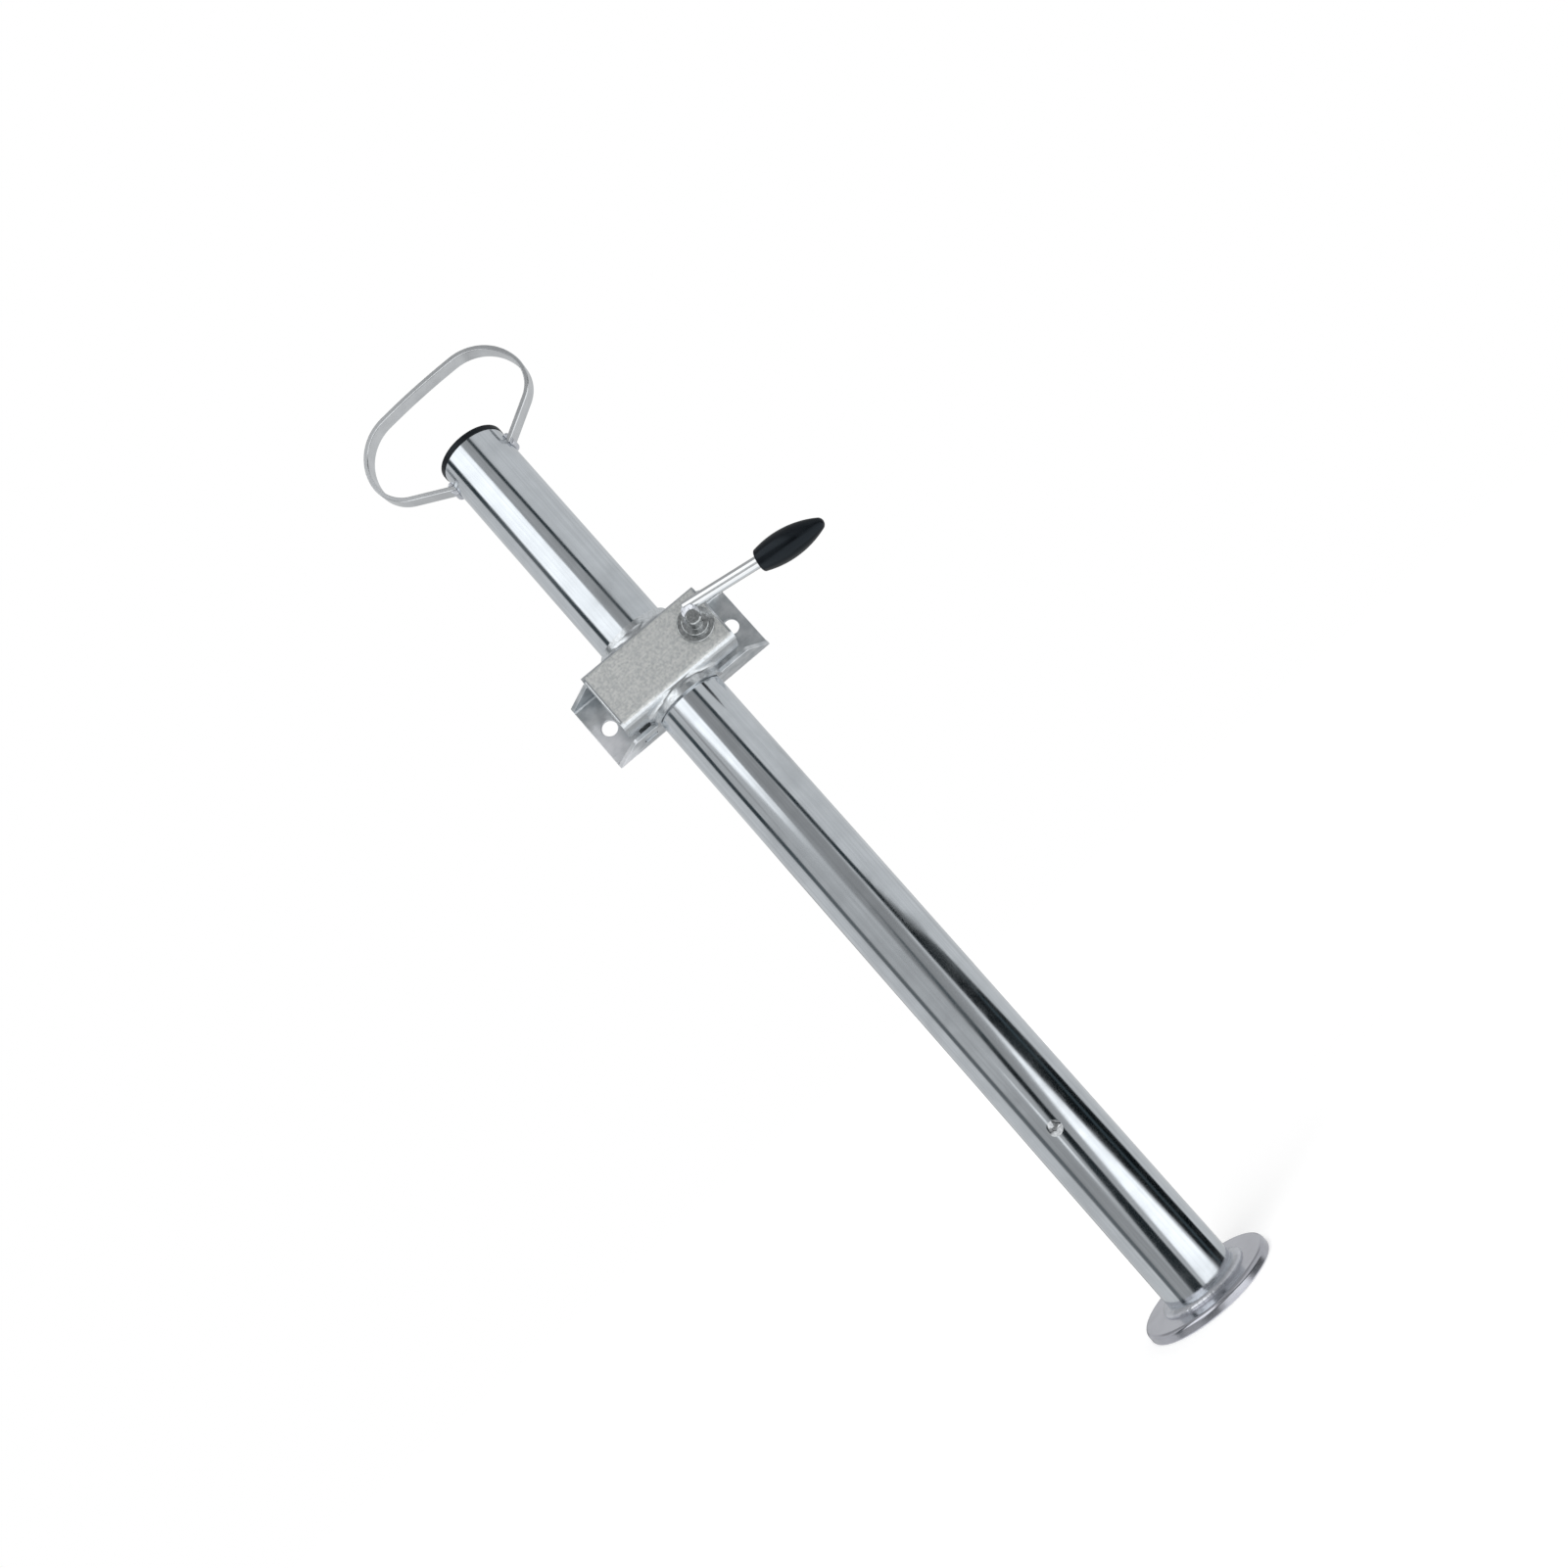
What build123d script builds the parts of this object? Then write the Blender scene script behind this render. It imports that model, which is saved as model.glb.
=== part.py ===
from build123d import *
import os
from math import cos, hypot, radians, sin, sqrt, tan

os.makedirs("parts", exist_ok=True)

# Clearances
slide_gap = 0.3             # clamp seats to the leg, round the tube
fit_gap = 0.05              # radial, a round piece in its bore
stop_gap = 0.3              # a piece that stands off its neighbour

# Leg, foot and end cap. The origin is under the middle of the foot, with +Z up the leg.
leg_height = 698.6          # ground to the top of the end cap
tube_radius = 24.0
tube_wall = 2.5
foot_radius = 44.0
foot_thickness = 6.0
foot_edge_radius = 1.0
foot_edge_chamfer = 0.6     # at the ground
foot_weld_reach = 5.5       # out over the foot plate
foot_weld_rise = 2.8        # up the tube
foot_weld_crown = 7.0       # radius of the bead's own face
cap_lip = 3.0
cap_lip_radius = 24.4
cap_lip_round = 1.8
cap_skirt = 14.0
cap_wall = 2.0
cap_rib_height = 0.6
cap_rib_width = 1.2
cap_rib_count = 3

# Pull handle: a flat strip bent to a loop and welded to both sides of the tube
strip_width = 12.0
strip_thickness = 3.0
handle_turn = -6.0          # degrees about the leg, from the clamp's own direction
handle_weld_drop = 15.5     # below the top of the leg
handle_rise = 59.8          # above the top of the leg
handle_shoulder = 67.0      # half width at the lower corners
handle_top_half = 61.0      # half width where the side would meet the top bar
handle_crown = 2.8          # the middle of the top bar stands this far above its corners
handle_shoulder_rise = 25.0
handle_shoulder_radius = 25.0
handle_top_radius = 35.0
handle_crown_radius = 500.0
handle_straight = 0.1       # at least this much of the strip stays straight between two bends
handle_weld_radius = 3.2

# Stop rivet: a blind rivet that keeps the clamp on the leg
rivet_height = 128.6
rivet_turn = 16.4           # degrees from the front, towards the hinge side
rivet_head_radius = 4.8
rivet_head_dome = 2.4
rivet_head_edge = 0.8
rivet_dome_radius = 9.6
rivet_shank_radius = 2.4
rivet_bulb_radius = 3.4
rivet_bulb_length = 4.0
mandrel_radius = 1.35
mandrel_sink = 0.7

# Clamp: a pressed back bracket, and a bar that hooks into it and is drawn up by a screw
clamp_height = 498.0
clamp_sheet = 3.0
bend_radius = 2.0           # inside a fold
bracket_back = 28.0         # leg axis to the mounting face
bracket_half_width = 26.5
bracket_left = 61.0
bracket_right = 66.5
bracket_front = 0.0         # front edge of the bracket's flanges
bracket_end_slope = 17.0
bracket_end_step = 2.0      # flange left standing beside the web at each end
bracket_edge_radius = 5.0
bolt_spacing = 105.0
bolt_hole_radius = 5.5
bar_front = 28.0            # leg axis to the bar's front face
bar_half_width = 22.0
bar_left = 44.5
bar_right = 46.0
bar_edge = 3.0              # the bar's flanges stop this far in front of the leg axis
bar_corner_radius = 4.0
collar_wall = 3.0
collar_reach = 6.5          # beyond the flange, along the leg
collar_root_radius = 3.0

# Hooks: two lugs of the bar, whose ends turn out through slots in the bracket's flanges
hook_middle = 33.0          # from the leg axis
hook_width = 9.0
hook_depth = 10.8           # behind the leg axis, where the hook bears
hook_play = 0.6
hook_proud = 1.4
seat_relief = 0.5           # the bar's seat opens this much at its sides, so that the bar can swing

# Clamp screw, nut and washer
screw_offset = 32.0         # leg axis to screw axis
screw_radius = 6.0
screw_end_inset = 1.5       # the screw's end stays in front of the mounting face
screw_end_chamfer = 1.0
screw_hole_radius = 6.75
bar_slot_length = 17.0
nut_flats = 19.0
nut_height = 10.0
nut_chamfer = 1.0
washer_radius = 12.0
washer_thickness = 2.5
washer_hole_radius = 6.5
washer_chamfer = 0.4
boss_radius = 8.7
boss_thickness = 3.0
stub_radius = 5.0
stub_length = 11.0
stub_chamfer = 0.8

# Lever: a round rod welded beside the stub, with a moulded grip
rod_radius = 4.0
rod_overhang = 3.0          # behind the middle of the stub
rod_stand_off = 6.0         # rod axis to the face of the boss
rod_end_round = 1.5
lever_drop = 15.5           # degrees below level, seen from the front
lever_rise = 20.0           # degrees away from the clamp
lever_weld_radius = 4.6
lever_weld_gap = 0.4        # filled by the bead, between rod and stub
grip_start = 56.4           # along the rod, from its welded end
grip_length = 46.6
grip_base_radius = 7.7
grip_base_round = 1.8
grip_bore = 30.0            # how deep the rod goes into the grip
grip_belly_radius = 61.0    # radius of the long curve from base to tip
grip_tip_radius = 4.2       # a ball on the axis
grip_tip_half = 3.6         # the grip's radius where the ball starts

# Places that follow from the sizes above
tube_top = leg_height - cap_lip
tube_bore = tube_radius - tube_wall
handle_top = leg_height + handle_rise
handle_foot = leg_height - handle_weld_drop
seat_radius = tube_radius + slide_gap
bracket_inside = bracket_back - clamp_sheet
bracket_length = bracket_left + bracket_right
bar_length = bar_left + bar_right
fold_mid_radius = bend_radius + clamp_sheet / 2
hook_end = hook_depth + clamp_sheet
boss_face = bar_front + washer_thickness + boss_thickness
rod_side = stub_radius + lever_weld_gap + rod_radius
stub_end = boss_face + stub_length
screw_tail = bracket_back - screw_end_inset
leg_axis = Axis((0, 0, 0), (0, 0, 1))
screw_axis = Axis((screw_offset, 0, clamp_height), (0, 1, 0))
screw_section = Plane((screw_offset, 0, clamp_height), x_dir=(1, 0, 0), z_dir=(0, 0, 1))
front_face = Plane((0, -bar_front, clamp_height), x_dir=(1, 0, 0), z_dir=(0, -1, 0))

# The lever's direction, and the spots that lie along it
rod_level = Vector(cos(radians(lever_drop)), 0, -sin(radians(lever_drop)))
rod_up = Vector(sin(radians(lever_drop)), 0, cos(radians(lever_drop)))
rod_way = rod_level * cos(radians(lever_rise)) + Vector(0, -sin(radians(lever_rise)), 0)
rod_flat = rod_way.cross(rod_up)
stub_middle = Vector(screw_offset, -boss_face - rod_stand_off, clamp_height)
rod_middle = stub_middle + rod_up * rod_side
rod_root = rod_middle - rod_way * rod_overhang
weld_middle = stub_middle + rod_up * (stub_radius + lever_weld_gap / 2)
grip_spot = rod_root + rod_way * grip_start
grip_section = Plane(grip_spot, x_dir=rod_way, z_dir=rod_flat)


def channel_path(front, back, half_width):
    """Corners of a channel's middle line: flange edge, web, web, flange edge."""
    side = half_width - clamp_sheet / 2
    web = back - clamp_sheet / 2 if back > front else back + clamp_sheet / 2
    return [(front, -side), (web, -side), (web, side), (front, side)]


def bend_run(before, corner, after, radius):
    """How much of each straight side a bend of this radius takes up."""
    turn = (Vector(*corner) - Vector(*before)).get_angle(Vector(*after) - Vector(*corner))
    return radius * tan(radians(turn / 2))


# Foot plate: a round plate, rounded off at the top of its rim
with BuildPart() as foot_plate:
    with BuildSketch():
        Circle(foot_radius)
    extrude(amount=foot_thickness)
    rim_edges = foot_plate.edges().group_by(Axis.Z)
    fillet(rim_edges[-1], foot_edge_radius)
    chamfer(rim_edges[0], foot_edge_chamfer)
foot_plate.part.label = "foot_plate"
export_step(foot_plate.part, "parts/foot_plate.step")

# Weld bead all round the foot of the tube
with BuildPart() as foot_weld:
    with BuildSketch(Plane.XZ):
        with BuildLine():
            weld_toe = (tube_radius + foot_weld_reach, foot_thickness)
            weld_top = (tube_radius, foot_thickness + foot_weld_rise)
            Polyline(weld_top, (tube_radius, foot_thickness), weld_toe)
            RadiusArc(weld_toe, weld_top, foot_weld_crown)
        make_face()
    revolve(axis=leg_axis)
foot_weld.part.label = "foot_weld"
export_step(foot_weld.part, "parts/foot_weld.step")

# Where the stop rivet stands, and the way that it points
rivet_out = Vector(-sin(radians(rivet_turn)), -cos(radians(rivet_turn)), 0)
rivet_spot = rivet_out * tube_radius + Vector(0, 0, rivet_height)
rivet_axis = Axis(rivet_spot, rivet_out)
rivet_section = Plane(rivet_spot, x_dir=rivet_out, z_dir=rivet_out.cross(Vector(0, 0, 1)))

# Leg tube, drilled for the stop rivet
with BuildPart() as leg_tube:
    with BuildSketch(Plane.XY.offset(foot_thickness)):
        Circle(tube_radius)
        Circle(tube_bore, mode=Mode.SUBTRACT)
    extrude(amount=tube_top - foot_thickness)
    with BuildSketch(Plane(rivet_spot, z_dir=rivet_out)):
        Circle(rivet_shank_radius + fit_gap)
    extrude(amount=tube_radius, both=True, mode=Mode.SUBTRACT)
leg_tube.part.label = "leg_tube"
export_step(leg_tube.part, "parts/leg_tube.step")

# End cap: a lip over the tube's end, and a ribbed skirt inside it
with BuildPart() as end_cap:
    skirt_radius = tube_bore - fit_gap - cap_rib_height
    with BuildSketch(Plane.XZ) as cap_section:
        with BuildLine():
            Polyline(
                (0, tube_top),
                (skirt_radius - cap_wall, tube_top),
                (skirt_radius - cap_wall, tube_top - cap_skirt),
                (skirt_radius, tube_top - cap_skirt),
                (skirt_radius, tube_top),
                (cap_lip_radius, tube_top),
                (cap_lip_radius, leg_height),
                (0, leg_height),
                close=True,
            )
        make_face()
        lip_corner = cap_section.vertices().sort_by_distance((cap_lip_radius, leg_height))[0]
        fillet(lip_corner, cap_lip_round)
        rib_step = cap_skirt / (cap_rib_count + 1)
        for rib in range(cap_rib_count):
            with Locations((skirt_radius, tube_top - rib_step * (rib + 1))):
                Rectangle(2 * cap_rib_height, cap_rib_width)
    revolve(axis=leg_axis)
end_cap.part.label = "end_cap"
export_step(end_cap.part, "parts/end_cap.step")

# Stop rivet: domed head outside, shank through the wall and a set bulb inside the tube
bulb_start = -tube_wall - stop_gap
with BuildPart() as stop_rivet:
    with BuildSketch(rivet_section):
        with BuildLine():
            head_rim = (rivet_head_edge, rivet_head_radius)
            head_top = (rivet_head_dome, mandrel_radius + fit_gap)
            Polyline(
                head_top,
                (bulb_start - rivet_bulb_length, mandrel_radius + fit_gap),
                (bulb_start - rivet_bulb_length, rivet_shank_radius),
                (bulb_start - rivet_bulb_length / 2, rivet_bulb_radius),
                (bulb_start, rivet_bulb_radius),
                (bulb_start, rivet_shank_radius),
                (0, rivet_shank_radius),
                (0, rivet_head_radius),
                head_rim,
            )
            RadiusArc(head_rim, head_top, rivet_dome_radius)
        make_face()
    revolve(axis=rivet_axis)
stop_rivet.part.label = "stop_rivet"
export_step(stop_rivet.part, "parts/stop_rivet.step")

# Mandrel of the rivet, broken off just under the top of its head
with BuildPart() as rivet_mandrel:
    with BuildSketch(Plane(rivet_spot, z_dir=rivet_out)):
        Circle(mandrel_radius)
    extrude(amount=rivet_head_dome - mandrel_sink)
    extrude(rivet_mandrel.faces().sort_by(rivet_axis)[0], amount=rivet_bulb_length - bulb_start)
    with BuildSketch(Plane(rivet_spot + rivet_out * (bulb_start - rivet_bulb_length), z_dir=-rivet_out)):
        Circle(rivet_shank_radius)
    extrude(amount=mandrel_radius)
rivet_mandrel.part.label = "rivet_mandrel"
export_step(rivet_mandrel.part, "parts/rivet_mandrel.step")

# Plane of the handle's loop, and the corners of its middle line
handle_x = Vector(cos(radians(handle_turn)), sin(radians(handle_turn)), 0)
handle_plane = Plane((0, 0, 0), x_dir=handle_x, z_dir=handle_x.cross(Vector(0, 0, 1)))
strip_mid = strip_thickness / 2
shoulder_x = handle_shoulder - strip_mid
shoulder_z = handle_foot + handle_shoulder_rise
top_x = handle_top_half - strip_mid
crown_z = handle_top - strip_mid
top_z = crown_z - handle_crown
handle_corners = [
    (-tube_bore, handle_foot),
    (-shoulder_x, shoulder_z),
    (-top_x, top_z),
    (0, crown_z),
    (top_x, top_z),
    (shoulder_x, shoulder_z),
    (tube_bore, handle_foot),
]

# Bends that share a straight stretch are limited by its length
shoulder_run, top_run, crown_run = (
    bend_run(*handle_corners[corner : corner + 3], radius)
    for corner, radius in enumerate((handle_shoulder_radius, handle_top_radius, handle_crown_radius))
)
side_room = hypot(shoulder_x - top_x, top_z - shoulder_z) - handle_straight
side_share = min(1, side_room / (shoulder_run + top_run))
crown_room = hypot(top_x, handle_crown) - top_run * side_share - handle_straight
crown_share = min(1, crown_room / crown_run)
side_radii = [handle_shoulder_radius * side_share, handle_top_radius * side_share]
loop_radii = [*side_radii, handle_crown_radius * crown_share, *reversed(side_radii)]

# Pull handle, with its two ends cut to sit on the tube
with BuildPart() as pull_handle:
    with BuildSketch(handle_plane):
        with BuildLine():
            FilletPolyline(*handle_corners, radius=loop_radii)
        trace(line_width=strip_thickness)
    extrude(amount=strip_width / 2, both=True)
    with BuildSketch(Plane.XY.offset(foot_thickness)):
        Circle(tube_radius)
    extrude(amount=leg_height - foot_thickness, mode=Mode.SUBTRACT)
pull_handle.part.label = "pull_handle"
export_step(pull_handle.part, "parts/pull_handle.step")

# Weld beads above and below each end of the handle
leg_slope = (shoulder_z - handle_foot) / (shoulder_x - tube_bore)
strip_at_tube = handle_foot + leg_slope * (tube_radius - tube_bore)
strip_half_cut = strip_mid * hypot(1, leg_slope)
for side, side_name in ((-1, "left"), (1, "right")):
    with BuildPart() as handle_weld:
        with BuildSketch(handle_plane):
            for edge in (-1, 1):
                with Locations((side * tube_radius, strip_at_tube + edge * strip_half_cut)):
                    Circle(handle_weld_radius)
        extrude(amount=strip_width / 2, both=True)
        with BuildSketch(Plane.XY.offset(foot_thickness)):
            Circle(tube_radius)
        extrude(amount=leg_height - foot_thickness, mode=Mode.SUBTRACT)
        add(pull_handle.part, mode=Mode.SUBTRACT)
    handle_weld.part.label = f"handle_weld_{side_name}"
    export_step(handle_weld.part, f"parts/handle_weld_{side_name}.step")

# Outline of the bracket's flanges, seen along the leg
bracket_outline = [
    (-bracket_left, bracket_back),
    (-bracket_left, bracket_inside - bracket_end_step),
    (bracket_end_slope - bracket_left, bracket_front),
    (bracket_right - bracket_end_slope, bracket_front),
    (bracket_right, bracket_inside - bracket_end_step),
    (bracket_right, bracket_back),
]
bolt_middle = (bracket_right - bracket_left) / 2
mount_face = Plane((0, bracket_back, clamp_height), x_dir=(1, 0, 0), z_dir=(0, -1, 0))

# Back bracket: a channel with sloped ends, a half-round seat, bolt holes and hook slots
with BuildPart() as back_bracket:
    with BuildSketch(Plane((-bracket_left, 0, clamp_height), x_dir=(0, 1, 0), z_dir=(1, 0, 0))):
        with BuildLine():
            FilletPolyline(
                *channel_path(bracket_front, bracket_back, bracket_half_width), radius=fold_mid_radius
            )
        trace(line_width=clamp_sheet)
    extrude(amount=bracket_length)
    with BuildSketch(Plane.XY.offset(clamp_height - bracket_half_width)) as flange_shape:
        with BuildLine():
            Polyline(*bracket_outline, close=True)
        make_face()
        fillet(flange_shape.vertices().group_by(Axis.Y)[0], bracket_edge_radius)
    extrude(amount=2 * bracket_half_width, mode=Mode.INTERSECT)
    with BuildSketch(Plane.XY.offset(clamp_height - bracket_half_width)):
        Circle(seat_radius)
        with Locations((-hook_middle, hook_depth + clamp_sheet / 2)):
            Rectangle(hook_width + 2 * hook_play, clamp_sheet + 2 * hook_play)
    extrude(amount=2 * bracket_half_width, mode=Mode.SUBTRACT)
    with BuildSketch(mount_face):
        with Locations((bolt_middle, 0)):
            with GridLocations(bolt_spacing, 0, 2, 1):
                Circle(bolt_hole_radius)
        with Locations((screw_offset, 0)):
            Circle(screw_hole_radius)
    extrude(amount=clamp_sheet, mode=Mode.SUBTRACT)
back_bracket.part.label = "back_bracket"
export_step(back_bracket.part, "parts/back_bracket.step")

# Nut welded inside the bracket, behind the screw
nut_seat = Plane((screw_offset, bracket_inside, clamp_height), x_dir=(0, 0, 1), z_dir=(0, -1, 0))
with BuildPart() as clamp_nut:
    with BuildSketch(nut_seat):
        RegularPolygon(nut_flats / 2, 6, major_radius=False)
    extrude(amount=nut_height)
    nut_front = clamp_nut.faces().sort_by(Axis.Y)[0]
    chamfer(nut_front.edges(), nut_chamfer)
    with BuildSketch(nut_seat):
        Circle(screw_radius + fit_gap)
    extrude(amount=nut_height, mode=Mode.SUBTRACT)
clamp_nut.part.label = "clamp_nut"
export_step(clamp_nut.part, "parts/clamp_nut.step")

# Clamp bar: a narrower channel over the front of the tube, with half-round collars and two hooks
bar_bottom = clamp_height - bar_half_width
collar_end = bar_half_width + collar_reach
with BuildPart() as clamp_bar:
    with BuildSketch(Plane((-bar_left, 0, clamp_height), x_dir=(0, 1, 0), z_dir=(1, 0, 0))):
        with BuildLine():
            FilletPolyline(*channel_path(hook_end, -bar_front, bar_half_width), radius=fold_mid_radius)
        trace(line_width=clamp_sheet)
    extrude(amount=bar_length)
    with BuildSketch(Plane.XY.offset(bar_bottom)) as bar_shape:
        with Locations(((bar_right - bar_left) / 2, -(bar_front + bar_edge) / 2)):
            Rectangle(bar_length, bar_front - bar_edge)
        fillet(bar_shape.vertices().group_by(Axis.Y)[-1], bar_corner_radius)
        with Locations((-hook_middle, (hook_end - bar_edge) / 2)):
            Rectangle(hook_width, hook_end + bar_edge)
    extrude(amount=2 * bar_half_width, mode=Mode.INTERSECT)
    with BuildSketch(Plane.XZ):
        for side in (-1, 1):
            flange_out = clamp_height + side * bar_half_width
            flange_in = clamp_height + side * (bar_half_width - clamp_sheet)
            collar_tip = clamp_height + side * collar_end
            collar_out = seat_radius + collar_wall
            root_out = (collar_out + collar_root_radius, flange_out)
            root_up = (collar_out, flange_out + side * collar_root_radius)
            with BuildLine():
                Polyline(
                    root_up,
                    (collar_out, collar_tip),
                    (tube_radius, collar_tip),
                    (tube_radius, flange_in),
                    (root_out[0], flange_in),
                    root_out,
                )
                RadiusArc(root_out, root_up, side * collar_root_radius)
            make_face()
    revolve(axis=leg_axis)
    with BuildSketch(Plane.XY.offset(clamp_height - collar_end)):
        Ellipse(seat_radius + seat_relief, seat_radius)
        with Locations((0, -bar_edge)):
            Rectangle(2 * bar_length, bar_length, align=(Align.CENTER, Align.MIN))
        with Locations((-hook_middle, -bar_edge)):
            Rectangle(hook_width, hook_end + bar_edge, align=(Align.CENTER, Align.MIN), mode=Mode.SUBTRACT)
        with Locations((0, -bar_front)):
            Rectangle(2 * bar_length, bar_length, align=(Align.CENTER, Align.MAX))
    extrude(amount=2 * collar_end, mode=Mode.SUBTRACT)
    with BuildSketch(front_face):
        with Locations((screw_offset, 0)):
            SlotOverall(bar_slot_length, 2 * screw_hole_radius)
    extrude(amount=-clamp_sheet, mode=Mode.SUBTRACT)
    for side in (-1, 1):
        hook_z = clamp_height + side * (bar_half_width - clamp_sheet)
        with BuildSketch(Plane((-hook_middle, hook_depth, hook_z), x_dir=(1, 0, 0), z_dir=(0, 0, side))):
            Rectangle(hook_width, clamp_sheet, align=(Align.CENTER, Align.MIN if side > 0 else Align.MAX))
        extrude(amount=bracket_half_width + hook_proud - bar_half_width + clamp_sheet)
clamp_bar.part.label = "clamp_bar"
export_step(clamp_bar.part, "parts/clamp_bar.step")

# Washer between the bar and the screw's boss
with BuildPart() as clamp_washer:
    with BuildSketch(front_face):
        with Locations((screw_offset, 0)):
            Circle(washer_radius)
            Circle(washer_hole_radius, mode=Mode.SUBTRACT)
    extrude(amount=washer_thickness)
    outer_edge = clamp_washer.edges().filter_by(GeomType.CIRCLE).sort_by(Axis.Y).sort_by(SortBy.RADIUS)[-2:]
    chamfer(outer_edge, washer_chamfer)
clamp_washer.part.label = "clamp_washer"
export_step(clamp_washer.part, "parts/clamp_washer.step")

# Clamp screw: threaded shank, round boss that bears on the washer, and a turned stub in front
with BuildPart() as clamp_screw:
    with BuildSketch(screw_section) as screw_shape:
        with BuildLine():
            Polyline(
                (0, screw_tail),
                (screw_radius - screw_end_chamfer, screw_tail),
                (screw_radius, screw_tail - screw_end_chamfer),
                (screw_radius, boss_thickness - boss_face),
                (boss_radius, boss_thickness - boss_face),
                (boss_radius, -boss_face),
                (stub_radius, -boss_face),
                (stub_radius, stub_chamfer - stub_end),
                (stub_radius - stub_chamfer, -stub_end),
                (0, -stub_end),
                close=True,
            )
        make_face()
        boss_edge = screw_shape.vertices().sort_by_distance((boss_radius, -boss_face))[0]
        fillet(boss_edge, stub_chamfer)
    revolve(axis=screw_axis)
clamp_screw.part.label = "clamp_screw"
export_step(clamp_screw.part, "parts/clamp_screw.step")

# Lever rod: straight, from beside the stub to inside the grip
with BuildPart() as lever_rod:
    with BuildSketch(Plane(rod_root, z_dir=rod_way)):
        Circle(rod_radius)
    extrude(amount=grip_start + grip_bore)
    fillet(lever_rod.edges().sort_by(Axis(rod_root, rod_way))[0], rod_end_round)
lever_rod.part.label = "lever_rod"
export_step(lever_rod.part, "parts/lever_rod.step")

# Weld bead in the corner between the rod and the stub
with BuildPart() as lever_weld:
    with BuildSketch(Plane(weld_middle, z_dir=rod_flat)):
        Circle(lever_weld_radius)
    extrude(amount=rod_radius, both=True)
    add(clamp_screw.part, mode=Mode.SUBTRACT)
    add(lever_rod.part, mode=Mode.SUBTRACT)
lever_weld.part.label = "lever_weld"
export_step(lever_weld.part, "parts/lever_weld.step")

# Lever grip: moulded, fullest near its base, drawn in to a rounded tip
with BuildPart() as lever_grip:
    with BuildSketch(grip_section) as grip_shape:
        with BuildLine():
            ball_middle = grip_length - grip_tip_radius
            base_rim = (0, grip_base_radius - grip_base_round)
            base_edge = (grip_base_round, grip_base_radius)
            tip_edge = (ball_middle + sqrt(grip_tip_radius**2 - grip_tip_half**2), grip_tip_half)
            Polyline(
                (grip_length, 0),
                (grip_bore, 0),
                (grip_bore, rod_radius + fit_gap),
                (0, rod_radius + fit_gap),
                base_rim,
            )
            RadiusArc(base_rim, base_edge, grip_base_round)
            RadiusArc(base_edge, tip_edge, grip_belly_radius)
            RadiusArc(tip_edge, (grip_length, 0), grip_tip_radius)
        make_face()
    revolve(axis=Axis(grip_spot, rod_way))
lever_grip.part.label = "lever_grip"
export_step(lever_grip.part, "parts/lever_grip.step")
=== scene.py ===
"""Looks of a trailer prop stand: zinc-plated steel and black plastic in a plain white studio."""

import logging
from dataclasses import dataclass
from enum import Enum
from math import cos, pi, radians, sin

import bmesh
import bpy
from mathutils import Matrix, Vector, noise


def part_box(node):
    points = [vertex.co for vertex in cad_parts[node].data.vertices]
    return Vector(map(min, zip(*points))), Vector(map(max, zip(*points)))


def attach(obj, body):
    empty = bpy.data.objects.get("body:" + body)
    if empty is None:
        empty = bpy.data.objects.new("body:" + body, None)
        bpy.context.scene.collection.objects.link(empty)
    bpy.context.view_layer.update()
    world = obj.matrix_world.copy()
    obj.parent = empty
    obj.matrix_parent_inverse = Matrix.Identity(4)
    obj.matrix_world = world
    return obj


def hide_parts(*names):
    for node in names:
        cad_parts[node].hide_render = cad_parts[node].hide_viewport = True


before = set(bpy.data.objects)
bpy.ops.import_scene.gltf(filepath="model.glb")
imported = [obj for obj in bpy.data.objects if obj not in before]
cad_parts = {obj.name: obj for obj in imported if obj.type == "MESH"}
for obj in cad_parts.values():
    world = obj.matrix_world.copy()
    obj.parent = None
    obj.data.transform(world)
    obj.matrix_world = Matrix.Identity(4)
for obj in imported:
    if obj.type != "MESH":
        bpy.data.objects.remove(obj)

logging.basicConfig(level=logging.INFO, format="%(levelname)s %(message)s")
LOG = logging.getLogger("prop_stand")

MM = 0.001
MERGE_DISTANCE = 1e-6
FLAT_ANGLE = radians(0.3)
SHARP_ANGLE = radians(32)
EDGE_CUTS = 2
ROUND_PROFILE = 0.5
NOISE_MIDDLE = 0.5
NOISE_RANGE = (0.3, 0.7)
ALL_ROUND = (-200.0, 200.0)

Triple = tuple[float, float, float]
Profile = list[tuple[float, float]]
Piece = bpy.types.Object
Shape = bmesh.types.BMesh
Tree = bpy.types.NodeTree
Socket = bpy.types.NodeSocket
Feeds = dict[int | str, object]
Given = dict[str, Socket]

COLOUR = "NodeSocketColor"
COUNT = "NodeSocketInt"
GEOMETRY = "NodeSocketGeometry"
MATERIAL = "NodeSocketMaterial"
NUMBER = "NodeSocketFloat"
VECTOR = "NodeSocketVector"


class Slot(Enum):
    """Material slots of the record that the pieces take their finishes from."""

    TUBE = "tube_zinc"
    FOOT = "foot_zinc"
    WELD = "weld_zinc"
    HANDLE = "handle_zinc"
    BRACKET = "bracket_zinc"
    BAR = "bar_zinc"
    SCREW = "screw_zinc"
    ROD = "rod_zinc"
    RIVET = "rivet_steel"
    CAP = "cap_plastic"
    GRIP = "grip_plastic"

    @property
    def finish(self) -> str:
        """Name of the material that dresses this slot."""
        return f"{self.value}_finish"


class Body(Enum):
    """Bodies of the frame that the pieces ride on."""

    LEG = "leg"
    BRACKET = "bracket"
    BAR = "bar"
    WASHER = "washer"
    LEVER = "lever"


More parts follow.
